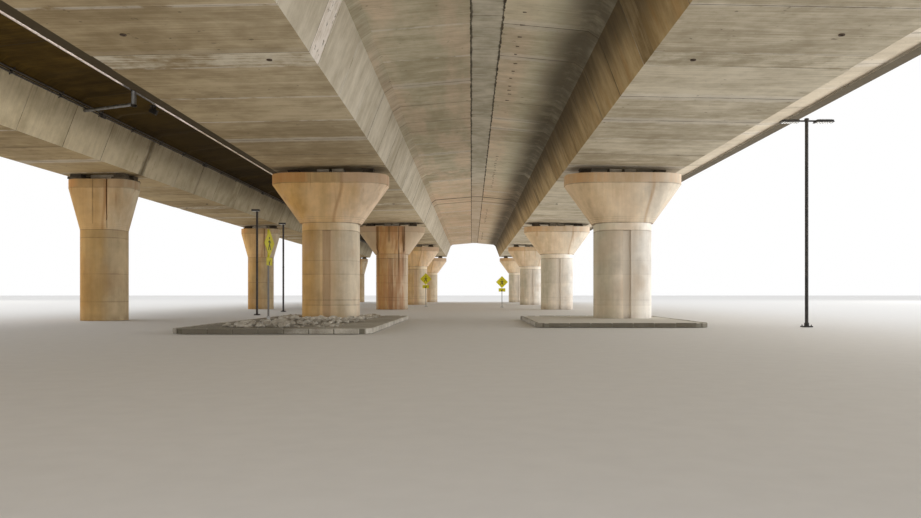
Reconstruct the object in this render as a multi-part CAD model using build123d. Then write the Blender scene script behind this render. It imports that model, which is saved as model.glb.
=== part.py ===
"""Car park under an elevated road: twin segmental box girders and a narrower ramp
girder on flared columns, as a model at one tenth of the real size, so that 100
millimetres here are one metre of the real structure. X runs across the road, Y
along it and Z up, with the origin on the ground under the middle of the structure.
"""

import math
import os
from dataclasses import dataclass

from build123d import *

# Length of the road: a pier block over each column, arms of precast blocks that
# reach out from it both ways, and a poured closure in the middle of each bay. The
# piers of the ramp stand a little farther along than those of the twin girders
PIER_BLOCK_LENGTH = 200.0
BLOCK_LENGTH = 310.0
POUR_LENGTH = 110.0
BLOCKS_PER_ARM = (5, 4, 4, 4)
TWIN_JOINT_INDEX = 2
RAMP_JOINT_INDEX = 1
JOINT_GAP = 5.0
END_OVERHANG = 260.0
RAMP_STAGGER = 120.0

# Cross-section of the twin girders
CENTRE_SOFFIT = 682.9
CROSSFALL = 0.02
DEPTH = 220.0
BOX_OFFSET = 645.0
TWIN_BOTTOM = 500.0
CLOSURE_WIDTH = 90.0
CLOSURE_SHIFT = 20.0
CLOSURE_RECESS = 2.0
WEST_WING_REACH = 600.0
EAST_WING_REACH = 650.0

# Cross-section of the ramp girder
RAMP_SOFFIT = 662.0
RAMP_BOTTOM = 330.0
RAMP_WING_REACH = 445.0
SLIT = 15.0

# Walls and slabs of every girder
WEB_LEAN = 0.383
WEB = 37.0
BOTTOM_SLAB = 22.0
TOP_SLAB = 25.0
WING_ROOT = 40.0
WING_TIP = 22.0
HAUNCH_HEIGHT = 160.0
HAUNCH_RUN = 30.0
VOID_HAUNCH_RUN = 60.0
VOID_HAUNCH_RISE = 20.0
PIER_DIAPHRAGM = 100.0
END_DIAPHRAGM = 60.0
MANWAY_WIDTH = 80.0
MANWAY_HEIGHT = 100.0
MANWAY_SILL = 20.0
GROOVE_WIDTH = 2.4
GROOVE_DEPTH = 1.2
POUR_RECESS = 1.0

# Main columns; a head's flat is half of what its rounded corners leave straight at its foot
SHAFT_WIDTH = 242.0
SHAFT_DEPTH = 242.0
SHAFT_RADIUS = 86.0
SHAFT_RECESS_WIDTH = 34.0
SHAFT_RECESS_DEPTH = 10.0
SHAFT_RECESS_TOP = 394.0
FLARE_BOTTOM = 428.0
FLARE_TOP = 599.0
COLUMN_TOP = 642.0
FLARE_WIDTH = 260.0
FLARE_DEPTH = 250.0
RIM_WIDTH = 508.0
HEAD_FLAT = 9.0

# Ramp columns
RAMP_SHAFT_WIDTH = 189.0
RAMP_SHAFT_DEPTH = 187.0
RAMP_FLARE_BOTTOM = 409.0
RAMP_FLARE_TOP = 598.0
RAMP_COLUMN_TOP = 636.0
RAMP_RIM_WIDTH = 294.0
RAMP_HEAD_FLAT = 23.0
RAMP_GROOVE_WIDTH = 6.0
RAMP_GROOVE_DEPTH = 11.0
RAMP_GROOVE_BOTTOM = 450.0
RAMP_GROOVE_OFFSET = 50.0

# Bearings and shear keys between a column and its girder; a key is its middle and width
PLINTH_WIDTH = 62.0
PLINTH_DEPTH = 72.0
PLINTH_HEIGHT = 10.0
BEARING_WIDTH = 48.0
BEARING_DEPTH = 50.0
BEARING_OFFSET = 165.0
RAMP_BEARING_OFFSET = 98.0
KEYS = ((-34.0, 54.0), (34.0, 54.0))
RAMP_KEYS = ((0.0, 100.0),)
KEY_DEPTH = 60.0
JOINT_BEARING_OFFSET = 50.0

# Road deck
BARRIER_HEIGHT = 90.0
BARRIER_BASE = 45.0
BARRIER_TOP = 20.0
BARRIER_TOE = 8.0
BARRIER_KNEE = 30.0
BARRIER_KNEE_STEP = 6.0
FASCIA_OVERHANG = 45.0
FASCIA_DROP = 30.0
MEDIAN_BASE = 60.0
SURFACING = 5.0
SEAL_HEIGHT = 12.0

# Kerbed islands round the second column of each main row
ISLAND_HEIGHT = 15.0
ISLAND_RADIUS = 60.0
ISLAND_GAP = 0.3
EAST_ISLAND_INNER = 210.0
EAST_ISLAND_OUTER = 830.0
EAST_ISLAND_FRONT = 720.0
EAST_ISLAND_BACK = 260.0
WEST_ISLAND_INNER = 325.0
WEST_ISLAND_OUTER = 930.0
WEST_ISLAND_FRONT = 1190.0
WEST_ISLAND_BACK = 300.0

# Lamp posts near the line of the slit between the decks, measured from the second pier
LAMP_HEIGHT = 600.0
LAMP_POST_SIZE = 10.0
LAMP_BASE_SIZE = 30.0
LAMP_BASE_HEIGHT = 4.0
LAMP_HEAD_LENGTH = 44.0
LAMP_HEAD_WIDTH = 24.0
LAMP_HEAD_HEIGHT = 10.0
LAMP_HEAD_SHIFT = 7.0
LAMP_PLACES = ((-1239.0, 1010.0), (-1292.0, 1890.0))

# Crossing signs: across from the twin centreline, along from the second pier, turn, foot and top
SIGN_SIDE = 76.0
SIGN_THICKNESS = 1.5
SIGN_POST = 6.0
PLAQUE_WIDTH = 60.0
PLAQUE_HEIGHT = 30.0
PLAQUE_GAP = 2.0
SIGN_PLACES = (
    (-808.0, -470.0, 84.0, ISLAND_HEIGHT, 370.0),
    (-446.0, 3960.0, 0.0, 0.0, 313.0),
    (250.0, 3710.0, 0.0, 0.0, 281.0),
)

# Drain pipe from the slit to the near web of the ramp girder, measured from the second pier
DRAIN_RADIUS = 6.0
DRAIN_DROP_RADIUS = 9.0
DRAIN_PIER_INDEX = 1
DRAIN_PLACE = -774.0
DRAIN_DROP = 45.0
DRAIN_STUB = 24.0
DRAIN_TURN = 24.5

# Conduits along the ramp girder: shares of the height of its near web and of its haunch
CONDUIT_RADIUS = 3.0
CONDUIT_WEB_SHARE = 0.97
CONDUIT_HAUNCH_SHARE = 0.25
CONDUIT_GAP = 0.1

# Places worked out from the sizes above
WEST_REACH = BOX_OFFSET + WEST_WING_REACH + SLIT + 2 * RAMP_WING_REACH
EAST_REACH = BOX_OFFSET + EAST_WING_REACH + FASCIA_OVERHANG
TWIN_X = (WEST_REACH - EAST_REACH) / 2
INNER_WEST_REACH = BOX_OFFSET + CLOSURE_SHIFT - CLOSURE_WIDTH / 2
INNER_EAST_REACH = BOX_OFFSET - CLOSURE_SHIFT - CLOSURE_WIDTH / 2
BAYS = [PIER_BLOCK_LENGTH + 2 * count * BLOCK_LENGTH + POUR_LENGTH for count in BLOCKS_PER_ARM]
LENGTH = sum(BAYS) + 2 * END_OVERHANG
PIERS = [-LENGTH / 2 + END_OVERHANG + sum(BAYS[:i]) for i in range(len(BAYS) + 1)]


@dataclass
class Row:
    """One line of girders and columns: its place, its slope and its own sizes."""

    name: str
    x: float
    soffit: float
    slope: float
    bottom: float
    left_reach: float
    right_reach: float
    joint_index: int
    stagger: float

    def pier(self, index):
        """Place along the road of one of the row's piers."""
        return PIERS[index] + self.stagger

    def joint(self):
        """Place along the road of the row's expansion joint."""
        return self.pier(self.joint_index)

    def at(self, across, up):
        """Point of the section, across from the box's middle and up from its soffit."""
        return (self.x + across, self.soffit + up + self.slope * across)


EAST = Row(
    "east",
    TWIN_X + BOX_OFFSET,
    CENTRE_SOFFIT - CROSSFALL * BOX_OFFSET,
    -CROSSFALL,
    TWIN_BOTTOM,
    INNER_EAST_REACH,
    EAST_WING_REACH,
    TWIN_JOINT_INDEX,
    0.0,
)
WEST = Row(
    "west",
    TWIN_X - BOX_OFFSET,
    CENTRE_SOFFIT - CROSSFALL * BOX_OFFSET,
    CROSSFALL,
    TWIN_BOTTOM,
    WEST_WING_REACH,
    INNER_WEST_REACH,
    TWIN_JOINT_INDEX,
    0.0,
)
RAMP = Row(
    "ramp",
    WEST.x - WEST_WING_REACH - SLIT - RAMP_WING_REACH,
    RAMP_SOFFIT,
    CROSSFALL,
    RAMP_BOTTOM,
    RAMP_WING_REACH,
    RAMP_WING_REACH,
    RAMP_JOINT_INDEX,
    RAMP_STAGGER,
)


def prism(points, start, end):
    """A closed outline in x and z, run along y from start to end."""
    wire = Wire.make_polygon([Vector(x, start, z) for x, z in points], close=True)
    return extrude(Face(wire), amount=end - start, dir=(0, 1, 0))


def both_sides(row, half):
    """The points of a half outline on the right, and their mirror images on the left."""
    right = [row.at(x, z) for x, z in half]
    left = [row.at(-x, z) for x, z in reversed(half)]
    return right + left


def box_half(row, inset):
    """Right half of the box below the wings: soffit corner and top of the web."""
    half = row.bottom / 2 - inset
    return [(half, inset), (half + WEB_LEAN * HAUNCH_HEIGHT, HAUNCH_HEIGHT)]


def outline(row, inset=0.0):
    """Outer section of a girder, with its lower faces set back by inset."""
    half = box_half(row, inset)
    root = (half[1][0] + HAUNCH_RUN, DEPTH - WING_ROOT + inset)
    tip = DEPTH - WING_TIP + inset
    right = [row.at(x, z) for x, z in half + [root]]
    right += [row.at(row.right_reach, tip), row.at(row.right_reach, DEPTH)]
    left = [row.at(-row.left_reach, DEPTH), row.at(-row.left_reach, tip)]
    left += [row.at(-x, z) for x, z in reversed(half + [root])]
    return right + left


def void(row):
    """Hollow of a girder, with haunches under its top slab."""
    foot = row.bottom / 2 - WEB + WEB_LEAN * BOTTOM_SLAB
    ceiling = DEPTH - TOP_SLAB
    shoulder = ceiling - VOID_HAUNCH_RISE
    side = row.bottom / 2 - WEB + WEB_LEAN * shoulder
    half = [(foot, BOTTOM_SLAB), (side, shoulder), (side - VOID_HAUNCH_RUN, ceiling)]
    return both_sides(row, half)


def manway(row, start, end):
    """Opening that lets a person through a diaphragm."""
    sill = BOTTOM_SLAB + MANWAY_SILL
    half = [(MANWAY_WIDTH / 2, sill), (MANWAY_WIDTH / 2, sill + MANWAY_HEIGHT)]
    return prism(both_sides(row, half), start, end)


def joint_groove(row, y):
    """Narrow groove over the soffit and webs where two precast blocks meet."""
    outer = box_half(row, -GROOVE_DEPTH)
    inner = box_half(row, GROOVE_DEPTH)
    points = [row.at(-x, z) for x, z in reversed(outer)]
    points += [row.at(x, z) for x, z in outer]
    points += [row.at(x, z) for x, z in reversed(inner)]
    points += [row.at(-x, z) for x, z in inner]
    return prism(points, y - GROOVE_WIDTH / 2, y + GROOVE_WIDTH / 2)


def arm_counts(index):
    """Blocks in front of a pier and behind it."""
    before = BLOCKS_PER_ARM[index - 1] if index > 0 else 0
    after = BLOCKS_PER_ARM[index] if index < len(BLOCKS_PER_ARM) else 0
    return before, after


def girder_length(row, start, end, plates):
    """One length of hollow girder, closed by the diaphragms in plates."""
    body = prism(outline(row), start, end)
    edges = [start] + [edge for plate in plates for edge in plate] + [end]
    for a, b in zip(edges[::2], edges[1::2]):
        if b > a:
            body -= prism(void(row), a, b)
    for a, b in plates:
        body -= manway(row, a, b)
    return body


def diaphragms(row, index, start, end):
    """Plates that close a pier's girder: over the pier, and at the ends of the road."""
    y = row.pier(index)
    plates = [(y - PIER_DIAPHRAGM / 2, y + PIER_DIAPHRAGM / 2)]
    if index == 0:
        plates.insert(0, (start, start + END_DIAPHRAGM))
    if index == len(PIERS) - 1:
        plates.append((end - END_DIAPHRAGM, end))
    return plates


def parted_lengths(row, start, end):
    """Girder of the pier with the expansion joint, in two lengths with end plates."""
    left_end = row.joint() - JOINT_GAP / 2
    right_start = row.joint() + JOINT_GAP / 2
    left_plate = (left_end - END_DIAPHRAGM, left_end)
    right_plate = (right_start, right_start + END_DIAPHRAGM)
    return [
        girder_length(row, start, left_end, [left_plate]),
        girder_length(row, right_start, end, [right_plate]),
    ]


def girder(row, index):
    """Pier block with the arms of blocks that balance on it."""
    y = row.pier(index)
    before, after = arm_counts(index)
    start = y - PIER_BLOCK_LENGTH / 2 - before * BLOCK_LENGTH if before else -LENGTH / 2
    end = y + PIER_BLOCK_LENGTH / 2 + after * BLOCK_LENGTH if after else LENGTH / 2
    if index == row.joint_index:
        lengths = parted_lengths(row, start, end)
    else:
        lengths = [girder_length(row, start, end, diaphragms(row, index, start, end))]
    grooves = [
        joint_groove(row, y + way * (PIER_BLOCK_LENGTH / 2 + i * BLOCK_LENGTH))
        for way, count in ((-1, before), (1, after))
        for i in range(count)
    ]
    return Compound(children=[cut(length, grooves) for length in lengths])


def cut(body, tools):
    """A body with those tools taken out of it that lie in its length."""
    box = body.bounding_box()
    inside = [t for t in tools if box.min.Y < t.center().Y < box.max.Y]
    return (body - inside).solid() if inside else body.solid()


def midspan_pours(row):
    """Poured closures that join the tips of facing arms in every bay."""
    pieces = []
    for bay in range(len(BAYS)):
        middle = (row.pier(bay) + row.pier(bay + 1)) / 2
        start, end = middle - POUR_LENGTH / 2, middle + POUR_LENGTH / 2
        body = prism(outline(row, POUR_RECESS), start, end)
        pieces.append((body - prism(void(row), start, end)).solid())
    return Compound(children=pieces)


def along(points, row):
    """An outline run along the whole deck and parted at the row's expansion joint."""
    left_end = row.joint() - JOINT_GAP / 2
    right_start = row.joint() + JOINT_GAP / 2
    left = prism(points, -LENGTH / 2, left_end).solid()
    return Compound(children=[left, prism(points, right_start, LENGTH / 2).solid()])


def deck_point(x, up):
    """Point across the twin decks, x from their centreline, up from the deck's top."""
    return (TWIN_X + x, CENTRE_SOFFIT + DEPTH + up - CROSSFALL * abs(x))


def closure_strip():
    """Strip cast between the inner wings of the twin decks, under their crown."""
    left = CLOSURE_SHIFT - CLOSURE_WIDTH / 2
    right = CLOSURE_SHIFT + CLOSURE_WIDTH / 2
    bottom = CLOSURE_RECESS - WING_TIP
    points = [deck_point(x, bottom) for x in (left, 0.0, right)]
    points += [deck_point(x, 0.0) for x in (right, 0.0, left)]
    return along(points, EAST)


def edge_barrier(edge, inward, point):
    """Concrete barrier flush with a deck edge; inward is 1 or -1, towards the road."""
    profile = [
        (0.0, 0.0),
        (0.0, BARRIER_HEIGHT),
        (BARRIER_TOP, BARRIER_HEIGHT),
        (BARRIER_TOP + BARRIER_KNEE_STEP, BARRIER_KNEE),
        (BARRIER_BASE, BARRIER_TOE),
        (BARRIER_BASE, 0.0),
    ]
    return [point(edge + inward * x, z) for x, z in profile]


def east_barrier():
    """Barrier of the open side, whose fascia hangs over the wing tip."""
    edge = BOX_OFFSET + EAST_WING_REACH
    profile = [
        (0.0, 0.0),
        (0.0, -FASCIA_DROP),
        (FASCIA_OVERHANG, -FASCIA_DROP),
        (FASCIA_OVERHANG, BARRIER_KNEE),
        (BARRIER_TOP, BARRIER_HEIGHT),
        (0.0, BARRIER_HEIGHT),
        (-BARRIER_KNEE_STEP, BARRIER_KNEE),
        (-BARRIER_BASE / 2, BARRIER_TOE),
        (-BARRIER_BASE / 2, 0.0),
    ]
    return along([deck_point(edge + x, z) for x, z in profile], EAST)


def west_barrier():
    """Barrier of the twin decks beside the slit."""
    edge = -BOX_OFFSET - WEST_WING_REACH
    return along(edge_barrier(edge, 1, deck_point), WEST)


def median_barrier():
    """Two-faced barrier over the closure strip."""
    half = [
        (MEDIAN_BASE / 2, 0.0),
        (MEDIAN_BASE / 2, BARRIER_TOE),
        (BARRIER_TOP / 2 + BARRIER_KNEE_STEP, BARRIER_KNEE),
        (BARRIER_TOP / 2, BARRIER_HEIGHT),
    ]
    points = [deck_point(x, z) for x, z in half]
    points += [deck_point(-x, z) for x, z in reversed(half)]
    points.append(deck_point(0.0, 0.0))
    return along(points, EAST)


def ramp_point(across, up):
    """Point across the ramp deck, from the box's middle, up from the deck's top."""
    return RAMP.at(across, DEPTH + up)


def ramp_barriers():
    """Barriers of both ramp edges."""
    pieces = []
    for side in (-1, 1):
        points = edge_barrier(side * RAMP_WING_REACH, -side, ramp_point)
        pieces += along(points, RAMP).solids()
    return Compound(children=pieces)


def surfacing_outline(left, right, point):
    """Thin layer between two places across a deck."""
    return [point(left, 0.0), point(right, 0.0), point(right, SURFACING), point(left, SURFACING)]


def twin_surfacing():
    """Asphalt of the two roadways, either side of the median barrier."""
    west = surfacing_outline(
        -BOX_OFFSET - WEST_WING_REACH + BARRIER_BASE, -MEDIAN_BASE / 2, deck_point
    )
    east = surfacing_outline(
        MEDIAN_BASE / 2, BOX_OFFSET + EAST_WING_REACH - BARRIER_BASE / 2, deck_point
    )
    return Compound(children=[*along(west, WEST).solids(), *along(east, EAST).solids()])


def ramp_surfacing():
    """Asphalt of the ramp."""
    half = RAMP_WING_REACH - BARRIER_BASE
    return along(surfacing_outline(-half, half, ramp_point), RAMP)


def joint_seals():
    """Strips that close the expansion joints under the road surface."""
    twin = [
        deck_point(x, z)
        for x, z in (
            (-BOX_OFFSET - WEST_WING_REACH, -SEAL_HEIGHT),
            (0.0, -SEAL_HEIGHT),
            (BOX_OFFSET + EAST_WING_REACH, -SEAL_HEIGHT),
            (BOX_OFFSET + EAST_WING_REACH, 0.0),
            (0.0, 0.0),
            (-BOX_OFFSET - WEST_WING_REACH, 0.0),
        )
    ]
    ramp = [
        ramp_point(-RAMP_WING_REACH, -SEAL_HEIGHT),
        ramp_point(RAMP_WING_REACH, -SEAL_HEIGHT),
        ramp_point(RAMP_WING_REACH, 0.0),
        ramp_point(-RAMP_WING_REACH, 0.0),
    ]
    pieces = []
    for points, row in ((twin, EAST), (ramp, RAMP)):
        gap = (row.joint() - JOINT_GAP / 2, row.joint() + JOINT_GAP / 2)
        pieces.append(prism(points, *gap).solid())
    return Compound(children=pieces)


def plan(width, depth, radius, x, y, z):
    """Rounded rectangle in plan, centred on x and y at height z."""
    return Pos(x, y, z) * RectangleRounded(width, depth, radius)


def slot_faces(body, x, y, depth, width, sink, bottom, top):
    """Takes an upright slot out of the front and the back of a column."""
    for side in (-1, 1):
        face = y + side * (depth - sink) / 2
        body -= Pos(x, face, (bottom + top) / 2) * Box(width, sink, top - bottom)
    return body


def flare(foot, rim, depth, flat, bottom, top, x, y):
    """Part of a head that widens sideways from foot to rim, with rounded corners."""
    lean = math.atan2((rim - foot) / 2, top - bottom)
    radius = (foot / 2 - flat) * math.cos(lean)
    sides = [(rim / 2, top), (-rim / 2, top), (-foot / 2, bottom), (foot / 2, bottom)]
    body = prism([(x + across, z) for across, z in sides], y - depth / 2, y + depth / 2)
    corners = body.edges().filter_by(Axis.X, reverse=True).filter_by(Axis.Y, reverse=True)
    return fillet(corners, radius)


def with_rim(body, height):
    """A flare with an upright rim on top of it."""
    return body + extrude(body.faces().sort_by(Axis.Z)[-1], amount=height, dir=(0, 0, 1))


def main_column(row, y):
    """Column under one of the twin girders, recessed up the middle of its shaft."""
    foot = plan(SHAFT_WIDTH, SHAFT_DEPTH, SHAFT_RADIUS, row.x, y, 0.0)
    shaft = slot_faces(
        extrude(foot, amount=FLARE_BOTTOM),
        row.x,
        y,
        SHAFT_DEPTH,
        SHAFT_RECESS_WIDTH,
        SHAFT_RECESS_DEPTH,
        0.0,
        SHAFT_RECESS_TOP,
    )
    head = flare(
        FLARE_WIDTH, RIM_WIDTH, FLARE_DEPTH, HEAD_FLAT, FLARE_BOTTOM, FLARE_TOP, row.x, y
    )
    return shaft + with_rim(head, COLUMN_TOP - FLARE_TOP)


def ramp_column(row, y):
    """Slimmer column under the ramp girder, grooved up its head."""
    head = flare(
        RAMP_SHAFT_WIDTH,
        RAMP_RIM_WIDTH,
        RAMP_SHAFT_DEPTH,
        RAMP_HEAD_FLAT,
        RAMP_FLARE_BOTTOM,
        RAMP_FLARE_TOP,
        row.x,
        y,
    )
    foot = head.faces().sort_by(Axis.Z)[0]
    shaft = extrude(foot, amount=RAMP_FLARE_BOTTOM, dir=(0, 0, -1))
    return slot_faces(
        shaft + with_rim(head, RAMP_COLUMN_TOP - RAMP_FLARE_TOP),
        row.x + RAMP_GROOVE_OFFSET,
        y,
        RAMP_SHAFT_DEPTH,
        RAMP_GROOVE_WIDTH,
        RAMP_GROOVE_DEPTH,
        RAMP_GROOVE_BOTTOM,
        RAMP_COLUMN_TOP,
    )


def columns(row, column):
    """The columns of one row, one on each pier line."""
    return Compound(children=[column(row, row.pier(i)).solid() for i in range(len(PIERS))])


def block_under(row, across, y, width, depth, bottom):
    """Block whose top follows the sloping soffit above it."""
    left, right = across - width / 2, across + width / 2
    points = [
        (row.x + left, bottom),
        (row.x + right, bottom),
        row.at(right, 0.0),
        row.at(left, 0.0),
    ]
    return prism(points, y - depth / 2, y + depth / 2)


def bearing(row, across, y, top):
    """Plinth on a column with a bearing that reaches up to the sloping soffit."""
    plinth = Pos(row.x + across, y, top + PLINTH_HEIGHT / 2)
    plinth *= Box(PLINTH_WIDTH, PLINTH_DEPTH, PLINTH_HEIGHT)
    block = block_under(row, across, y, BEARING_WIDTH, BEARING_DEPTH, top + PLINTH_HEIGHT)
    return (plinth + block).solid()


def bearings(row, top, offset, keys):
    """Shear keys between two bearings on each column, four bearings under the expansion joint."""
    pieces = []
    for index in range(len(PIERS)):
        y = row.pier(index)
        shift = JOINT_BEARING_OFFSET
        lines = (y - shift, y + shift) if index == row.joint_index else (y,)
        for line in lines:
            pieces.append(bearing(row, -offset, line, top))
            pieces.append(bearing(row, offset, line, top))
        for across, width in keys:
            pieces.append(block_under(row, across, y, width, KEY_DEPTH, top).solid())
    return Compound(children=pieces)


def island(row, inner, outer, front, back):
    """Raised island round a column, with a small gap between it and the shaft."""
    y = PIERS[1]
    way = 1 if row.x > TWIN_X else -1
    centre_x = TWIN_X + way * (inner + outer) / 2
    centre_y = y + (back - front) / 2
    ground = plan(outer - inner, front + back, ISLAND_RADIUS, centre_x, centre_y, 0.0)
    width = SHAFT_WIDTH + 2 * ISLAND_GAP
    depth = SHAFT_DEPTH + 2 * ISLAND_GAP
    hole = plan(width, depth, SHAFT_RADIUS + ISLAND_GAP, row.x, y, 0.0)
    return (extrude(ground, amount=ISLAND_HEIGHT) - extrude(hole, amount=ISLAND_HEIGHT)).solid()


def kerb_islands():
    """Islands round the second east and west columns."""
    east = island(
        EAST, EAST_ISLAND_INNER, EAST_ISLAND_OUTER, EAST_ISLAND_FRONT, EAST_ISLAND_BACK
    )
    west = island(
        WEST, WEST_ISLAND_INNER, WEST_ISLAND_OUTER, WEST_ISLAND_FRONT, WEST_ISLAND_BACK
    )
    return Compound(children=[east, west])


def lamp_post(x, y):
    """Square post on a base plate with a flat lamp head."""
    base = Pos(x, y, LAMP_BASE_HEIGHT / 2)
    body = base * Box(LAMP_BASE_SIZE, LAMP_BASE_SIZE, LAMP_BASE_HEIGHT)
    body += Pos(x, y, LAMP_HEIGHT / 2) * Box(LAMP_POST_SIZE, LAMP_POST_SIZE, LAMP_HEIGHT)
    lamp = Box(LAMP_HEAD_LENGTH, LAMP_HEAD_WIDTH, LAMP_HEAD_HEIGHT)
    return (body + Pos(x - LAMP_HEAD_SHIFT, y, LAMP_HEIGHT - LAMP_HEAD_HEIGHT / 2) * lamp).solid()


def lamp_posts():
    """The two posts that stand near the line of the slit."""
    posts = [lamp_post(TWIN_X + x, PIERS[1] + y) for x, y in LAMP_PLACES]
    return Compound(children=posts)


def sign(x, y, turn, foot, top):
    """Post with a diamond plate and a small plaque under it, turned about the post."""
    post = Pos(0, 0, (foot + top) / 2) * Box(SIGN_POST, SIGN_POST, top - foot)
    half = SIGN_SIDE / math.sqrt(2)
    middle = top - half
    front = -SIGN_POST / 2 - SIGN_THICKNESS
    corners = [(half, middle), (0.0, middle + half), (-half, middle), (0.0, middle - half)]
    diamond = prism(corners, front, front + SIGN_THICKNESS)
    plaque_z = middle - half - PLAQUE_GAP - PLAQUE_HEIGHT / 2
    plaque = Pos(0, front + SIGN_THICKNESS / 2, plaque_z)
    plaque *= Box(PLAQUE_WIDTH, SIGN_THICKNESS, PLAQUE_HEIGHT)
    return (Pos(x, y, 0) * Rot(0, 0, turn) * (post + diamond + plaque)).solid()


def signs():
    """Crossing signs of the car park's lane, the nearest of them on the west island."""
    stands = [sign(TWIN_X + x, PIERS[1] + y, *stand) for x, y, *stand in SIGN_PLACES]
    return Compound(children=stands)


def wing_underside(row, across):
    """Height of the left wing's underside at a place between its root and tip."""
    root = row.bottom / 2 + WEB_LEAN * HAUNCH_HEIGHT + HAUNCH_RUN
    share = (-across - root) / (row.left_reach - root)
    return row.at(across, DEPTH - WING_ROOT + share * (WING_ROOT - WING_TIP))[1]


def near_web(up):
    """Point of the ramp's near web at a height on it."""
    return Vector(*RAMP.at(RAMP_BOTTOM / 2 + WEB_LEAN * up, up))


def web_place(height):
    """Place across of the ramp's near web at a height over the ground."""
    foot, top = near_web(0.0), near_web(HAUNCH_HEIGHT)
    return foot.X + (top.X - foot.X) * (height - foot.Y) / (top.Y - foot.Y)


def drain_pipe():
    """Pipe that drops from the slit under the west wing tip and runs to the ramp's near web."""
    across = -WEST_WING_REACH - SLIT / 2
    x = WEST.x + across
    y = RAMP.pier(DRAIN_PIER_INDEX) + DRAIN_PLACE
    top = wing_underside(WEST, across + DRAIN_DROP_RADIUS)
    low = top - DRAIN_DROP
    end = low - DRAIN_DROP_RADIUS
    turn = math.radians(DRAIN_TURN)
    reach = x - web_place(low) - DRAIN_RADIUS * math.hypot(math.sin(turn), WEB_LEAN)
    length = reach / math.cos(turn)
    drop = Pos(x, y, (top + end) / 2) * Cylinder(DRAIN_DROP_RADIUS, top - end)
    stub = Pos(x, y, top + DRAIN_STUB / 2) * Cylinder(DRAIN_RADIUS, DRAIN_STUB)
    level = Pos(-length / 2, 0, 0) * Rot(0, 90, 0) * Cylinder(DRAIN_RADIUS, length)
    return (drop + stub + Pos(x, y, low) * Rot(0, 0, -DRAIN_TURN) * level).solid()


def conduit(foot, top, share):
    """Straight conduit against the face of the ramp girder between two lines along it."""
    wall = (top - foot).normalized()
    out = Vector(wall.Y, -wall.X)
    centre = foot + (top - foot) * share + out * (CONDUIT_RADIUS + CONDUIT_GAP)
    return Pos(centre.X, 0.0, centre.Y) * Rot(90, 0, 0) * Cylinder(CONDUIT_RADIUS, LENGTH)


def conduits():
    """The two conduits of the ramp, one on its near web and one on the haunch above."""
    shoulder = near_web(HAUNCH_HEIGHT)
    reach = RAMP_BOTTOM / 2 + WEB_LEAN * HAUNCH_HEIGHT + HAUNCH_RUN
    root = Vector(*RAMP.at(reach, DEPTH - WING_ROOT))
    lower = conduit(near_web(0.0), shoulder, CONDUIT_WEB_SHARE).solid()
    return Compound(children=[lower, conduit(shoulder, root, CONDUIT_HAUNCH_SHARE).solid()])


def build():
    """Every piece by its name."""
    pieces = {}
    for row in (WEST, EAST, RAMP):
        column = ramp_column if row is RAMP else main_column
        pieces[f"{row.name}_columns"] = columns(row, column)
        for index in range(len(PIERS)):
            pieces[f"{row.name}_girder_{index + 1}"] = girder(row, index)
        pieces[f"{row.name}_midspan_pours"] = midspan_pours(row)
    pieces["west_bearings"] = bearings(WEST, COLUMN_TOP, BEARING_OFFSET, KEYS)
    pieces["east_bearings"] = bearings(EAST, COLUMN_TOP, BEARING_OFFSET, KEYS)
    pieces["ramp_bearings"] = bearings(RAMP, RAMP_COLUMN_TOP, RAMP_BEARING_OFFSET, RAMP_KEYS)
    pieces["deck_closure_strip"] = closure_strip()
    pieces["east_barrier"] = east_barrier()
    pieces["west_barrier"] = west_barrier()
    pieces["median_barrier"] = median_barrier()
    pieces["ramp_barriers"] = ramp_barriers()
    pieces["twin_road_surface"] = twin_surfacing()
    pieces["ramp_road_surface"] = ramp_surfacing()
    pieces["expansion_joint_seals"] = joint_seals()
    pieces["kerb_islands"] = kerb_islands()
    pieces["lamp_posts"] = lamp_posts()
    pieces["crossing_signs"] = signs()
    pieces["drain_pipe"] = drain_pipe()
    pieces["ramp_conduits"] = conduits()
    return pieces


os.makedirs("parts", exist_ok=True)
for name, piece in build().items():
    export_step(piece, f"parts/{name}.step")
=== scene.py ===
"""Looks of the car park under an elevated road, at one tenth of its real size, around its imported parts."""

import math
import random

import bmesh
import bpy
from mathutils import Matrix, Vector
from mathutils.bvhtree import BVHTree


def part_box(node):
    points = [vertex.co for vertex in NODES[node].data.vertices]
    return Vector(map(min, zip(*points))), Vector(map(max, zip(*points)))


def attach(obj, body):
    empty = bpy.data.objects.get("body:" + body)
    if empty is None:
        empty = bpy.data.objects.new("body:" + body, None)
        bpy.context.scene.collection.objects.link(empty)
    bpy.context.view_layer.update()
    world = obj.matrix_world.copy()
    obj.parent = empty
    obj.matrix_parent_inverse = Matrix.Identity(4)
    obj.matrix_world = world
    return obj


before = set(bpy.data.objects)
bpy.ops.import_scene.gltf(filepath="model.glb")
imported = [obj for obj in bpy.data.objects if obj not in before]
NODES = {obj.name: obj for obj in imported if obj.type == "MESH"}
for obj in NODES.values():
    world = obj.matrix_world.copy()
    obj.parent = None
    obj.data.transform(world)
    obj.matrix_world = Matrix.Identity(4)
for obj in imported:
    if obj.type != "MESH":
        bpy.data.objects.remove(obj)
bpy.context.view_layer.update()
ROWS = ("west", "east", "ramp")
UP = Vector((0.0, 0.0, 1.0))
CORNERS = [(a, b) for a in (-1, 1) for b in (-1, 1)]


def middle_x(node):
    """Middle of a CAD node across the road."""
    return sum(corner.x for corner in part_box(node)) / 2


# Lengths along the road, in metres as everything here: blocks of the girders and their arms
BLOCK = 0.31
HALF_PIER_BLOCK = 0.1
BLOCKS_PER_ARM = (5, 4, 4, 4)
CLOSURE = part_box("deck_closure_strip")
HALF_CLOSURE = (CLOSURE[1].x - CLOSURE[0].x) / 2
DECK_END = CLOSURE[1].y
ISLAND_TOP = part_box("kerb_islands")[1].z

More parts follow.
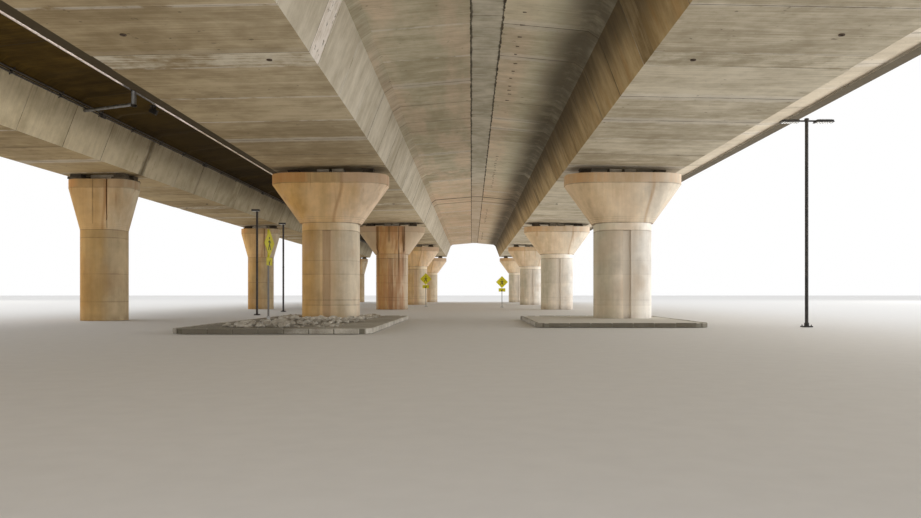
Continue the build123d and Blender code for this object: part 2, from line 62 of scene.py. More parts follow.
# Places across the road: the closure, the middle of the twin decks, and the three rows of columns
CLOSURE_X = middle_x("deck_closure_strip")
TWIN_X = middle_x("median_barrier")
ROW_X = {row: middle_x(f"{row}_columns") for row in ROWS}

# The photograph's camera: where it stands, and where its lines meet in the 921 by 518 picture
EYE = (0.382, -6.12, 0.12)
PICTURE = (921, 518)
FOCAL_PIXELS = 820
SENSOR = 36.0
VANISHING_POINT = (471.5, 294.0)

# Heights on the main columns and on the ramp's: lines with their strength, and lifts with their tone
MAIN_MARKS = {
    "lines": ((0.072, 0.45), (0.094, 0.5), (0.205, 0.55), (0.264, 0.35)),
    "collar": (0.394, 0.428),
    "rim": 0.599,
    "lifts": ((0.0, 0.072, 0.06), (0.205, 0.394, -0.06), (0.394, 0.428, 0.16), (0.428, 0.599, 0.08)),
}
RAMP_MARKS = {
    "lines": ((0.085, 0.5), (0.21, 0.6)),
    "collar": (0.373, 0.409),
    "rim": 0.598,
    "lifts": ((0.0, 0.085, 0.05), (0.373, 0.409, -0.05), (0.409, 0.598, 0.05)),
}


def pier_places(row):
    """Places of a row's piers along the road, worked out from its girders."""
    boxes = [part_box(f"{row}_girder_{index}") for index in range(1, len(BLOCKS_PER_ARM) + 2)]
    places = [high.y - HALF_PIER_BLOCK - blocks * BLOCK for (_, high), blocks in zip(boxes, BLOCKS_PER_ARM)]
    return places + [boxes[-1][0].y + HALF_PIER_BLOCK + BLOCKS_PER_ARM[-1] * BLOCK]


PIERS = {row: pier_places(row) for row in ROWS}

# Piers where the decks part for expansion
JOINT_Y = {"west": PIERS["west"][2], "east": PIERS["east"][2], "ramp": PIERS["ramp"][1]}

# Colours, in pairs from dark to light where a mottled surface goes between them
SOFFIT = {
    "west": ((0.261, 0.183, 0.084), (0.477, 0.361, 0.194)),
    "east": ((0.35, 0.3, 0.211), (0.655, 0.594, 0.472)),
}
WING = {
    "west": ((0.349, 0.305, 0.202), (0.589, 0.534, 0.403)),
    "east": ((0.392, 0.349, 0.24), (0.654, 0.605, 0.458)),
    "ramp": ((0.057, 0.032, 0.004), (0.147, 0.089, 0.014)),
    "closure": ((0.36, 0.327, 0.245), (0.589, 0.545, 0.447)),
    "flush": (0.698, 0.545, 0.403),
    "far": (0.61, 0.403, 0.251),
    "outer": (0.567, 0.491, 0.387),
}
# Webs: sunny and ramp are pale with painted light, shady is brown with painted shade, and lime is the white
# of the pours
WEB = {
    "sunny": ((0.42, 0.37, 0.28), (0.67, 0.615, 0.51)),
    "ramp": ((0.515, 0.437, 0.286), (0.829, 0.728, 0.526)),
    "lime": ((0.62, 0.55, 0.47), (0.80, 0.74, 0.68)),
    "shady": ((0.213, 0.14, 0.056), (0.414, 0.308, 0.162)),
}
# Stains; two of the dark ones also lay painted shade, at the east wing's root and beside the slit
STAIN = {
    "run": (0.15, 0.115, 0.07),
    "salt": (0.74, 0.70, 0.64),
    "seam": (0.05, 0.04, 0.028),
    "root_shade": (0.06, 0.045, 0.026),
    "soot_and_shade": (0.075, 0.055, 0.03),
    "ginger": (0.34, 0.18, 0.055),
}
# Barriers; under is painted shade on the faces that look down
BARRIER = {
    "face": ((0.30, 0.27, 0.23), (0.52, 0.49, 0.44)),
    "run": (0.12, 0.10, 0.08),
    "under": (0.08, 0.062, 0.034),
    "seam": (0.06, 0.05, 0.045),
}
# Bearings; the dark side colour also stands in for the shade in the gap
BEARING = {
    "middle": ((0.40, 0.34, 0.25), (0.68, 0.61, 0.49)),
    "side": ((0.045, 0.035, 0.025), (0.16, 0.13, 0.09)),
}
# Islands; the dark earth colour also lays painted shade on upright faces
ISLAND = {
    "pale": ((0.34, 0.315, 0.265), (0.52, 0.49, 0.42)),
    "soil_and_shade": (0.11, 0.10, 0.07),
    "slab": (0.74, 0.71, 0.64),
}

# Columns: colours of shaft and head from left to right, going from painted shade at the left to painted light
# at the right over their own colours, strengths, one of them for the painted highlight beside the recess, and
# where a run slants over the head, with painted light to its right
WEST_TONES = {
    "shaft": ((0.39, 0.235, 0.085), (0.44, 0.32, 0.18), (0.53, 0.46, 0.355)),
    "head": ((0.42, 0.25, 0.085), (0.54, 0.37, 0.19), (0.51, 0.40, 0.29)),
    "recess": (0.74, 0.55, 0.37),
    "arris_highlight": 0.2,
    "run": (0.032, 0.066),
    "rim": (0.36, 0.25, 0.12),
    "lifts": 1.0,
    "blush": (0.54, 0.37, 0.25),
    "faded": (0.46, 0.38, 0.28),
    "rust": (0.37, 0.165, 0.06),
    "drip": (0.09, 0.04, 0.015),
    "seam": (0.13, 0.08, 0.04),
}
EAST_TONES = {
    "shaft": ((0.43, 0.385, 0.29), (0.57, 0.50, 0.41), (0.63, 0.60, 0.55)),
    "head": ((0.46, 0.345, 0.215), (0.56, 0.46, 0.34), (0.47, 0.42, 0.35)),
    "recess": (0.74, 0.68, 0.60),
    "arris_highlight": 0.06,
    "run": (0.08, 0.115),
    "rim": (0.48, 0.33, 0.19),
    "lifts": 0.35,
    "blush": (0.60, 0.44, 0.30),
    "rust": (0.44, 0.25, 0.11),
    "seam": (0.13, 0.08, 0.04),
}
RAMP_TONES = {
    "shaft": ((0.304, 0.17, 0.055), (0.35, 0.23, 0.097), (0.43, 0.34, 0.215)),
    "head": ((0.34, 0.202, 0.074), (0.386, 0.248, 0.11), (0.47, 0.40, 0.285)),
    "run": (0.03, 0.05),
    "rim": (0.313, 0.202, 0.092),
    "lifts": 1.0,
    "blush": (0.423, 0.285, 0.166),
    "grooves": ((0.05, 0.41), (-0.012, 0.43)),
    "rust": (0.304, 0.138, 0.046),
    "seam": (0.12, 0.075, 0.035),
}


class Value:
    """Output of a shader node. Plain arithmetic on it makes further nodes."""

    def __init__(self, graph, socket):
        self.graph, self.socket = graph, socket

    def __add__(self, other):
        return self.graph.math("ADD", self, other)

    def __radd__(self, other):
        return self.graph.math("ADD", other, self)

    def __sub__(self, other):
        return self.graph.math("SUBTRACT", self, other)

    def __rsub__(self, other):
        return self.graph.math("SUBTRACT", other, self)

    def __mul__(self, other):
        return self.graph.math("MULTIPLY", self, other)

    def __truediv__(self, other):
        return self.graph.math("DIVIDE", self, other)

    def __abs__(self):
        return self.graph.math("ABSOLUTE", self)


class Graph:
    """Shader nodes of one material, made by short calls that take values or numbers."""

    def __init__(self, name, roughness, metallic=0.0):
        self.material = bpy.data.materials.new(name)
        self.material.use_nodes = True
        tree = self.material.node_tree
        self.nodes, self.links = tree.nodes, tree.links
        self.shader = self.nodes["Principled BSDF"]
        self.shader.inputs["Roughness"].default_value = roughness
        self.shader.inputs["Metallic"].default_value = metallic
        self.shader.inputs["Specular IOR Level"].default_value = 0.12 if roughness > 0.8 else 0.4
        coords = self.nodes.new("ShaderNodeTexCoord").outputs
        self.x, self.y, self.z = self.make("SeparateXYZ", {0: Value(self, coords["Object"])})
        self.nx, self.ny, self.nz = self.make("SeparateXYZ", {0: Value(self, coords["Normal"])})
        self.colour = None

    def feed(self, socket, value):
        """Wires or sets one input."""
        if isinstance(value, Value):
            self.links.new(value.socket, socket)
        elif socket.type == "RGBA":
            socket.default_value = (*value, 1.0)
        else:
            socket.default_value = value

    def make(self, kind, inputs, **settings):
        """Outputs of a new node, with its settings made and its inputs fed by number or name."""
        node = self.nodes.new(f"ShaderNode{kind}")
        for setting, value in settings.items():
            setattr(node, setting, value)
        for key, value in inputs.items():
            self.feed(node.inputs[key], value)
        return [Value(self, socket) for socket in node.outputs]

    def math(self, operation, a, b=0.0):
        return self.make("Math", {0: a, 1: b}, operation=operation)[0]

    def most(self, a, b):
        return self.math("MAXIMUM", a, b)

    def band(self, value, low, high):
        """Smooth step from 0 at low to 1 at high."""
        ends = {"Value": value, "From Min": low, "From Max": high}
        return self.make("MapRange", ends, interpolation_type="SMOOTHSTEP")[0]

    def fall(self, value, low, high):
        """Smooth step from 1 at low to 0 at high."""
        return 1.0 - self.band(value, low, high)

    def noise(self, x, y, z, detail=4.0, rough=0.6):
        """Noise from 0 to 1 over a place given by three coordinates."""
        place = self.make("CombineXYZ", {0: x, 1: y, 2: z})[0]
        inputs = {"Vector": place, "Scale": 1.0, "Detail": detail, "Roughness": rough}
        return self.make("TexNoise", inputs)[0]

    def even_noise(self, scale, seed, detail=4.0, rough=0.6):
        """Noise of the same scale in every direction, in cycles a metre."""
        return self.noise(self.x * scale + seed, self.y * scale, self.z * scale, detail, rough)

    def random(self, value):
        """A random number from 0 to 1 for each value."""
        return self.make("TexWhiteNoise", {"W": value}, noise_dimensions="1D")[0]

    def blend(self, share, a, b):
        """Number that goes from a to b."""
        return self.make("Mix", {0: share, 2: a, 3: b})[0]

    def tint(self, share, a, b):
        """Colour that goes from a to b."""
        return self.make("Mix", {0: share, 6: a, 7: b}, data_type="RGBA")[2]

    def scale(self, colour, factor):
        """Colour made darker or lighter by a factor."""
        return self.make("VectorMath", {0: colour, "Scale": factor}, operation="SCALE")[0]

    def lay(self, share, colour):
        """Lays a colour over the surface's own."""
        self.colour = self.tint(share, self.colour, colour)

    def shade(self, factor):
        """Makes the surface's own colour darker or lighter."""
        self.colour = self.scale(self.colour, factor)

    def line(self, distance, width, wobble):
        """1 on a line of the given half width, with ragged edges."""
        return self.fall(distance + wobble, width * 0.4, width)

    def to_joint(self, length):
        """Distance along the road to the nearest joint between equal lengths."""
        return abs(self.math("FRACT", self.y / length) - 0.5) * length

    def finish(self, height, bump, depth):
        """Wires the surface's colour, and a height from 0 to 1 as bumps of the given depth."""
        bumps = self.make("Bump", {"Strength": bump, "Distance": depth, "Height": height})[0]
        self.feed(self.shader.inputs["Normal"], bumps)
        self.feed(self.shader.inputs["Base Color"], self.colour)
        return self.material


def concrete(name, roughness, seed):
    """Graph of a concrete, with the mottling that all of it shares: clouds, patches and grains."""
    g = Graph(name, roughness)
    cloud = g.even_noise(3.2, seed, 5.0)
    patch = g.even_noise(19.0, seed + 7, 5.0, 0.62)
    grain = g.even_noise(240.0, seed + 3, 3.0, 0.7)
    return g, cloud, patch, grain


def block_grid(g, pier, seed):
    """Distance to the nearest joint between blocks, and random tones of the block and of the joint."""
    from_pier = g.y - pier
    side = g.math("SIGN", from_pier)
    count = (abs(from_pier) - HALF_PIER_BLOCK) / BLOCK
    part = g.math("FRACT", count)
    joint = g.math("MINIMUM", part, 1.0 - part) * BLOCK
    block_tone = g.random(g.math("FLOOR", count) * (side * 7.0) + seed)
    joint_tone = g.random(g.math("ROUND", count) * (side * 13.0) + (seed + 0.5))
    return joint, block_tone, joint_tone


def girder_faces(g):
    """Where the surface is a web, a web that faces the open side, and the underside of a wing."""
    web = g.band(abs(g.nx), 0.8, 0.9)
    return web, g.band(g.nx, 0.8, 0.9), g.band(g.z, 0.8, 0.83) * (1.0 - web)


def east_root_shade(g, cloud, broad):
    """Dark band of painted shade on the east deck beside the aisle: the root of its wing and the top of its
    web.
    """
    edge = g.x + (cloud + broad * 0.5 - 0.75) * 0.06
    return g.band(edge, 0.565, 0.70) * g.fall(edge, 0.73, 0.80)


def wing_joint(g, place, patch):
    """Dark lines at the expansion joint and a block further on, across the deck's whole underside."""
    past = g.y - JOINT_Y[place]
    wobble = (patch - 0.5) * 0.014
    return g.most(g.line(abs(past), 0.028, wobble), g.line(abs(past - BLOCK), 0.02, wobble)) * 0.8


def wing_colour(g, place, tone, seed):
    """Undersides of the wings: olive with pinkish patches drawn out along the road, dark beside the slit,
    where the west deck's outer strip is painted shade.
    """
    colour = g.tint(tone, *WING[place])
    if place == "ramp":
        return g.scale(colour, g.blend(g.band(g.y, -4.4, -2.2), 1.15, 0.4))
    flush = g.band(g.noise(g.x * 7.0, g.y * 1.3, seed + 50.0), 0.42, 0.6)
    if place == "east":
        flush = g.fall(g.x, 0.53, 0.59) * g.blend(flush, 0.35, 1.0)
    colour = g.tint(flush * 0.6, colour, g.scale(WING["flush"], g.blend(tone, 0.72, 1.1)))
    colour = g.tint(g.band(g.y, -1.2, 0.32) * 0.4, colour, WING["far"])
    if place == "west":
        # Painted shade on the west deck's outer strip of wing, beside the slit
        return g.tint(g.fall(g.x, -0.6, -0.5) * 0.95, colour, STAIN["soot_and_shade"])
    return g.tint(g.band(g.x, 1.25, 1.35) * 0.8, colour, g.scale(WING["outer"], g.blend(tone, 0.85, 1.1)))


def sunny_web(g, place, tone, broad):
    """Webs on the open side: pale with painted light, and on the ramp darker far off and towards the wing."""
    colour = g.tint(tone, *WEB["ramp" if place == "ramp" else "sunny"])
    if place == "ramp":
        colour = g.scale(colour, g.blend(g.band(g.y, -4.6, -1.6), 1.26, 0.6))
        colour = g.scale(colour, g.blend(g.band(g.z + (broad - 0.5) * 0.06, 0.7, 0.79), 1.12, 0.84))
    return colour


def shady_web(g, tone, patch, seed):
    """Webs that face away from the open side: brown with painted shade and ginger patches, and darker towards
    the wing with painted shade.
    """
    ginger = g.noise(g.z * 5.0, g.y * 26.0, seed + 21.0)
    colour = g.tint(g.band(ginger, 0.5, 0.7) * 0.3, g.tint(tone, *WEB["shady"]), STAIN["ginger"])
    return g.scale(colour, g.blend(g.band(g.z + (patch - 0.5) * 0.08, 0.72, 0.82), 1.12, 0.72))


def lay_web_runs(g, place, sunny, seed):
    """Dark runs down the webs on the open side, strongest under the wing."""
    runs = g.band(g.noise(g.z * 2.4, g.y * 46.0, seed + 9.0), 0.44, 0.66) * sunny
    if place == "ramp":
        ragged = (g.noise(0.0, g.y * 9.0, seed + 12.0, 3.0) - 0.5) * 0.22
        g.lay(runs * g.band(g.z + ragged, 0.73, 0.87) * 0.5, STAIN["run"])
    else:
        g.lay(runs * g.band(g.z, 0.72, 0.95) * 0.26, STAIN["run"])


def lay_girder_joints(g, place, joint, joint_tone, patch, broad, clean, web):
    """Halos, salt and dark seams at the joints between blocks. Gives back the seams, for the bumps."""
    halo = g.fall(joint, 0.004, 0.04) * g.band(broad, 0.45, 0.65)
    g.lay(halo * g.blend(joint_tone, 0.05, 0.4), STAIN["run"])
    salt = g.fall(joint, 0.002, 0.011) * g.band(patch, 0.36, 0.56) * clean * g.fall(joint_tone, 0.5, 0.6)
    g.lay(salt * (0.35 if place == "east" else 0.5), STAIN["salt"])
    leach = g.fall(joint + patch * -0.05, 0.0, 0.02) * g.band(joint_tone, 0.75, 0.8)
    g.lay(leach * clean * g.blend(web, 0.3, 0.1), STAIN["salt"])
    seam = g.line(joint, 0.0032, (patch - 0.5) * 0.006) * g.band(patch + joint_tone, 0.55, 0.95)
    if place == "ramp":
        seam = seam * g.blend(web, 1.0, 0.25)
    g.lay(seam * g.blend(joint_tone, 0.3, 0.85), STAIN["seam"])
    return seam


def girder_concrete(name, pier, place, seed):
    """Precast blocks: each block has its own tone, its joints are stained, and the formwork left streaks."""
    g, cloud, patch, grain = concrete(name, 0.88, seed)
    joint, block_tone, joint_tone = block_grid(g, pier, seed)
    web, sunny, wing = girder_faces(g)
    flat = 1.0 - web
    haunch = g.band(abs(g.nx), 0.2, 0.4) * flat
    shady = web - sunny
    across = g.blend(web, g.x, g.z)
    streak = g.noise(across * 6.0, g.y * 120.0, seed, 5.0, 0.62)
    broad = g.noise(across * 3.4, g.y * 15.0, seed + 4.0)
    tone = cloud + streak * g.blend(web, 0.8, 0.3) + broad * 0.8 + patch * 0.7
    tone = tone + block_tone * g.blend(web, 0.32, 0.16) + g.blend(web, 0.0, 0.33)
    tone = g.band(tone, 1.4, 2.2)
    # The soffits go paler and greyer towards the open east side: partly the decks' own colours, partly
    # painted light from that side
    open_side = g.band(g.x, -1.2, 1.3)
    dark, light = (g.tint(open_side, west, east) for west, east in zip(SOFFIT["west"], SOFFIT["east"]))
    g.colour = g.tint(tone, dark, light)
    g.lay(wing, wing_colour(g, place, tone, seed))
    # Painted shade on the haunches between webs and wings; the ramp is also a little darker all over
    g.shade(g.blend(haunch, 0.93 if place == "ramp" else 1.0, 0.84))
    # Painted light on the webs that face the open side, painted shade on those that face away
    g.lay(sunny, sunny_web(g, place, tone, broad))
    g.lay(shady, shady_web(g, tone, patch, seed))
    lay_web_runs(g, place, sunny, seed)
    if place == "east":
        # Painted shade in the crease at the root of the east deck's wing, mottled
        root_mottle = g.band(patch * 0.7 + cloud * 0.6, 0.38, 0.7)
        root = east_root_shade(g, cloud, broad)
        g.lay(root * g.blend(root_mottle, 0.55, 0.88), STAIN["root_shade"])
        clean = (1.0 - g.most(shady, haunch * g.fall(g.x, 1.0, 1.1))) * (1.0 - root)
    elif place == "west":
        clean = g.band(g.x, -0.6, -0.5) * (1.0 - haunch)
    else:
        clean = 1.0 - g.most(wing, web)
    seam = lay_girder_joints(g, place, joint, joint_tone, patch, broad, clean, web)
    leak = abs(g.y - JOINT_Y[place]) + (patch - 0.5) * 0.08
    g.lay(g.fall(leak, 0.004, 0.04) * g.blend(web, 0.35, 0.6), STAIN["soot_and_shade"])
    if place != "ramp":
        g.lay(flat * wing_joint(g, place, patch), STAIN["seam"])
    specks = g.band(g.even_noise(46.0, seed + 31, 2.0, 0.5), 0.7, 0.76) * flat
    g.lay(specks * 0.5, STAIN["seam"])
    g.lay(g.band(grain, 0.62, 0.7) * 0.22, STAIN["seam"])
    return g.finish(streak * 0.5 + grain * 0.5 - seam * 0.6, 0.35, 0.0016)


def pour_concrete(name, place, seed):
    """Closures poured on site in the middle of the bays: rougher, and white with lime on the open side."""
    g, cloud, patch, grain = concrete(name, 0.92, seed)
    web, sunny, wing = girder_faces(g)
    boards = g.noise(g.blend(web, g.x, g.z) * 3.0, g.y * 140.0, seed)
    tone = g.band(cloud * 0.9 + (boards * 0.8 + patch * 0.8), 1.0, 1.5)
    g.colour = g.tint(tone, SOFFIT["east" if place == "east" else "west"][0], SOFFIT["east"][1])
    g.lay(wing, wing_colour(g, place, tone, seed))
    # Painted shade: the webs that face away from the open side, and at the east the band at the wing's root
    g.lay(web - sunny, g.scale(g.tint(tone, *WEB["shady"]), 0.8))
    if place == "east":
        g.lay(east_root_shade(g, cloud, boards) * 0.75, STAIN["root_shade"])
    if place == "ramp":
        face = g.scale(g.tint(tone, *WEB["ramp"]), 0.62)
    else:
        lime = g.tint(g.band(patch * 0.8 + boards * 0.5, 0.5, 0.75), *WEB["lime"])
        pitted = g.band(g.even_noise(34.0, seed + 12, 3.0, 0.7), 0.58, 0.66)
        lime = g.tint(pitted * 0.75, lime, STAIN["run"])
        face = g.tint(g.band(g.y, -3.0, -2.5) * 0.9, lime, g.tint(tone, *WEB["sunny"]))
    g.lay(sunny, face)
    g.lay(g.band(grain, 0.6, 0.7) * 0.3, STAIN["seam"])
    return g.finish(boards * 0.6 + grain * 0.4, 0.5, 0.0025)


def lay_recess(g, middle, fine_runs, tones):
    """Recess up the middle of a main column made paler with painted light against its own shade, and a
    painted highlight on the sharp edge at its left, under the collar.
    """
    under = g.fall(g.z, 0.392, 0.395)
    # Painted light laid into the recess against its shade
    groove = g.band(middle, -0.0175, -0.0165) * g.fall(middle + (fine_runs - 0.5) * 0.03, 0.012, 0.05)
    g.lay(groove * under * 0.5, tones["recess"])
    # Painted highlight on the edge at the recess's left, where its wall faces the light
    arris_highlight = g.band(middle, -0.032, -0.025) * g.fall(middle, -0.0185, -0.0175)
    g.shade(1.0 + arris_highlight * under * tones["arris_highlight"])


def lay_head_run_and_lit_side(g, middle, head, wide_runs, marks, tones):
    """Rust-coloured run that slants down a column's head along the edge of its front face, partly rust and
    partly painted shade at that edge, and the head made lighter to its right with painted light.
    """
    slant = g.blend(g.band(g.z, marks["collar"][1], marks["rim"]), *tones["run"])
    run = middle - slant + (wide_runs - 0.5) * 0.02
    # Painted light: the head lighter to the right of the run, where its face turns to the light
    g.shade(1.0 + head * g.band(run, -0.002, 0.01) * 0.08)
    g.lay(g.fall(abs(run), 0.001, 0.011) * head * 0.42, tones["rust"])


def lay_rim(g, middle, fine_runs, marks, tones):
    """Upright rim of a column's head: rusty at the left and blushed at the right."""
    place = middle + (fine_runs - 0.5) * 0.05
    parts = g.tint(g.band(place, -0.1, -0.07), g.scale(tones["rust"], 1.25), tones["rim"])
    parts = g.tint(g.band(place, 0.05, 0.08), parts, tones["blush"])
    rim = g.band(g.z, marks["rim"], marks["rim"] + 0.004)
    g.lay(rim * g.blend(g.band(fine_runs, 0.3, 0.65), 0.25, 0.7), parts)


def lay_rust(g, middle, pier, fine_runs, streaks, tones):
    """Rust up the middle of the one column at a pier, faded sides, and dark drips."""
    near = g.fall(abs(g.y - pier), 0.3, 0.4)
    off = abs(middle + (fine_runs - 0.5) * 0.03)
    zone = near * g.fall(off, 0.095, 0.12)
    g.lay((near - zone) * 0.6, tones["faded"])
    g.lay(zone * g.blend(g.band(fine_runs, 0.38, 0.6), 0.15, 0.7), tones["rust"])
    drips = g.most(g.fall(abs(off - 0.1), 0.003, 0.016), g.fall(abs(middle - 0.062), 0.002, 0.009))
    short = g.fall(abs(middle + 0.012), 0.004, 0.014) * g.band(g.z, 0.5, 0.54)
    broken = g.band(g.z, 0.1, 0.5) * g.blend(g.band(streaks, 0.4, 0.6), 0.3, 0.9)
    g.lay(near * g.most(drips, short * 0.6) * broken, tones["drip"])


def lay_lines(g, middle, patch, swirl, marks, tones):
    """Dark lines at lifts, collar, rim and grooves, and faint ones over the collar. Gives them back."""
    wobble = (patch - 0.5) * 0.004
    low, high = marks["collar"]
    lines = 0.0
    lifts = [(mark, strength * tones["lifts"]) for mark, strength in marks["lines"]]
    for mark, strength in (*lifts, (low, 0.8), (high, 1.0), (marks["rim"], 0.7)):
        lines = g.most(lines, g.line(abs(g.z - mark), 0.003, wobble) * strength)
    for spot, foot in tones.get("grooves", ()):
        line = g.line(abs(middle - spot), 0.0034, wobble) * g.band(g.z, foot, foot + 0.01)
        lines = g.most(lines, line * g.fall(g.ny, -0.5, -0.3))
    for step in range(1, 4):
        lines = g.most(lines, g.line(abs(g.z - (high + 0.008 * step)), 0.0016, wobble) * 0.3)
    g.lay(lines * g.blend(g.band(swirl, 0.35, 0.65), 0.3, 0.65), tones["seam"])
    return lines


def column_concrete(name, marks, tones, centre, seed, rust_pier=None):
    """Columns: darker and browner in painted shade on the side away from the open side, and paler with
    painted light on the open one, with lift lines, rust and run marks.
    """
    g, cloud, patch, grain = concrete(name, 0.86, seed)
    middle = g.x - centre
    fine_runs = g.noise(g.x * 42.0, g.y * 42.0, g.z * 3.5 + seed, 4.0, 0.62)
    wide_runs = g.noise(g.x * 13.0, g.y * 13.0, g.z * 2.0 + seed, 4.0, 0.55)
    streaks = g.noise(g.x * 30.0, g.y * 30.0, g.z * 1.6 + (seed + 8.0), 3.0, 0.5)
    swirl = g.even_noise(8.0, seed + 15, 4.0, 0.55)
    collar_top = marks["collar"][1]
    head = g.band(g.z, collar_top - 0.003, collar_top + 0.003)
    # The colour goes from painted shade at the left to painted light at the right, by place across the column
    # and by which way each face turns
    across = middle / g.blend(head, 0.12, 0.2) + (wide_runs - 0.5) * 1.3 + (swirl - 0.5 + g.nx * 0.3)
    left, right = g.band(across, -1.0, 0.1), g.band(across, -0.1, 1.0)
    shaft, top = (g.tint(right, g.tint(left, a, b), c) for a, b, c in (tones["shaft"], tones["head"]))
    g.colour = g.tint(head, shaft, top)
    tone = wide_runs * 0.5 + (cloud * 0.8 + (patch * 0.6 + fine_runs * 0.5))
    g.shade(g.blend(g.band(tone, 0.85, 1.55), 0.98, 1.48))
    g.lay(g.band(g.even_noise(6.0, seed + 40, 3.0, 0.5), 0.5, 0.66) * 0.3, tones["blush"])
    lift_tone = 0.0
    for low, high, more in marks["lifts"]:
        lift_tone = lift_tone + g.band(g.z, low, low + 0.002) * g.fall(g.z, high - 0.002, high) * more
    g.shade(1.0 + lift_tone)
    if "recess" in tones:
        lay_recess(g, middle, fine_runs, tones)
    below = g.band(g.z, collar_top + 0.03, marks["rim"]) * head
    g.lay(g.band(streaks, 0.6, 0.68) * g.blend(below, 0.1, 0.45), tones["rust"])
    lay_head_run_and_lit_side(g, middle, head, wide_runs, marks, tones)
    lay_rim(g, middle, fine_runs, marks, tones)
    if rust_pier is not None:
        lay_rust(g, middle, rust_pier, fine_runs, streaks, tones)
    lines = lay_lines(g, middle, patch, swirl, marks, tones)
    g.lay(g.fall(g.z, 0.0, 0.05) * g.band(patch, 0.3, 0.65) * 0.45, tones["seam"])
    g.lay(g.band(grain, 0.62, 0.72) * 0.2, tones["seam"])
    return g.finish(grain * 0.5 + patch * 0.4 - lines * 0.7, 0.3, 0.0014)


def closure_concrete(name, seed):
    """Strip cast between the twin decks, dark and ragged along both edges."""
    g, cloud, patch, grain = concrete(name, 0.9, seed)
    streak = g.noise(g.x * 9.0, g.y * 120.0, seed)
    tone = cloud * 0.9 + (streak * 0.8 + patch * 0.8)
    g.colour = g.tint(g.band(tone, 1.0, 1.55), *WING["closure"])
    edge = abs(abs(g.x - CLOSURE_X) - HALF_CLOSURE)
    g.lay(g.line(edge, 0.006, (patch - 0.5) * 0.014) * 0.7, STAIN["seam"])
    g.lay(g.line(g.to_joint(BLOCK), 0.003, (patch - 0.5) * 0.004) * 0.5, STAIN["seam"])
    g.lay(g.band(g.y, -1.2, 0.32) * 0.35, WING["far"])
    g.lay(wing_joint(g, "west", patch), STAIN["seam"])
    return g.finish(streak * 0.5 + grain * 0.5, 0.4, 0.002)


def barrier_concrete(name, seed):
    """Barriers: cast in lengths, with painted shade on the faces that look down under the top edge, and drips
    on the outside.
    """
    g, cloud, patch, grain = concrete(name, 0.88, seed)
    drips = g.noise(g.x * 30.0, g.y * 30.0, g.z * 4.0)
    g.colour = g.tint(g.band(cloud + (drips * 0.7 + patch * 0.4), 0.8, 1.4), *BARRIER["face"])
    seam = g.line(g.to_joint(0.5), 0.003, (patch - 0.5) * 0.001)
    g.lay(seam * 0.8, BARRIER["seam"])
    g.lay(g.band(drips, 0.52, 0.7) * g.band(g.z, 0.84, 0.97) * 0.55, BARRIER["run"])
    # Painted shade on the faces that look down
    g.lay(g.fall(g.nz, -0.6, -0.3) * 0.92, BARRIER["under"])
    return g.finish(grain * 0.6 - seam * 0.5, 0.3, 0.0014)


def cast(name, pair, seed, roughness=0.9, gritty=0.4, low=0.75, high=1.35):
    """Start of the small castings: graph mottled between two colours, its bumps, patches and tone."""
    g, cloud, patch, grain = concrete(name, roughness, seed)
    tone = g.band(cloud * 0.8 + (patch * 0.8 + grain * gritty), low, high)
    g.colour = g.tint(tone, *pair)
    return g, grain * 0.6 + patch * 0.4, patch, grain, tone


def plain_concrete(name, pair, seed):
    """Mortar and rubble."""
    g, height, *_ = cast(name, pair, seed)
    return g.finish(height, 0.4, 0.002)


def island_ground(name, seed):
    """Islands: dark earth round the west column's near left, pale slab elsewhere, and painted shade in the
    earth's colour on the faces that don't face up.
    """
    g, height, patch, grain, _ = cast(name, ISLAND["pale"], seed, 0.92, 0.5, 0.85, 1.5)
    edge = g.x + (patch - 0.5) * 0.16
    g.lay(g.fall(edge, -0.2, -0.08) * g.band(patch + grain, 0.75, 1.15) * 0.8, ISLAND["soil_and_shade"])
    g.lay(g.band(g.x, 0.3, 0.4) * 0.75, ISLAND["slab"])
    # Painted shade on the faces that don't face up
    g.lay(g.fall(g.nz, 0.2, 0.6) * 0.8, ISLAND["soil_and_shade"])
    return g.finish(height, 0.6, 0.003)


def kerb_concrete(name, pair, soil_and_shade, seed):
    """Kerb stones: pale, soiled at the west island's left and on the east island, where the front faces are
    darker with painted shade, over dirt at the west island's left.
    """
    g, height, patch, *_ = cast(name, pair, seed)
    left = g.most(g.fall(g.x + (patch - 0.5) * 0.2, -0.22, -0.06), g.band(g.x, 0.3, 0.4))
    # Darker front faces: painted shade, over dirt at the west island's left
    g.lay(left * g.blend(g.fall(g.ny, -0.8, -0.4), 0.25, 0.85), soil_and_shade)
    return g.finish(height, 0.4, 0.002)


def bearing_concrete(name, row_x, seed):
    """Bearing blocks: pale in the middle, and dark rubber and steel out at the sides, made as dark as the gap
    under the girders with painted shade.
    """
    g, height, _, _, tone = cast(name, BEARING["middle"], seed)
    # Dark sides: partly the rubber and steel, partly painted shade of the gap
    g.lay(g.band(abs(g.x - row_x), 0.055, 0.062), g.tint(tone, *BEARING["side"]))
    return g.finish(height, 0.4, 0.002)


def asphalt(name, seed, edges, lanes):
    """Road surface: stony, worn paler in the wheel tracks, with white edge lines and dashes."""
    g, cloud, patch, grain = concrete(name, 0.93, seed)
    tracks = g.noise(g.x * 9.0, g.y * 0.5, seed, 2.0, 0.5)
    tone = grain + (tracks * 0.8 + cloud * 0.4)
    g.colour = g.tint(g.band(tone, 0.8, 1.5), (0.05, 0.05, 0.052), (0.17, 0.165, 0.16))
    dash = g.fall(g.math("FRACT", g.y / 1.2), 0.245, 0.25)
    marks = 0.0
    for place, drawn in [(edge, 1.0) for edge in edges] + [(lane, dash) for lane in lanes]:
        marks = g.most(marks, g.fall(abs(g.x - place), 0.0055, 0.0065) * drawn)
    g.lay(marks * g.band(patch, 0.3, 0.45) * 0.85, (0.62, 0.62, 0.6))
    return g.finish(grain, 0.6, 0.002)


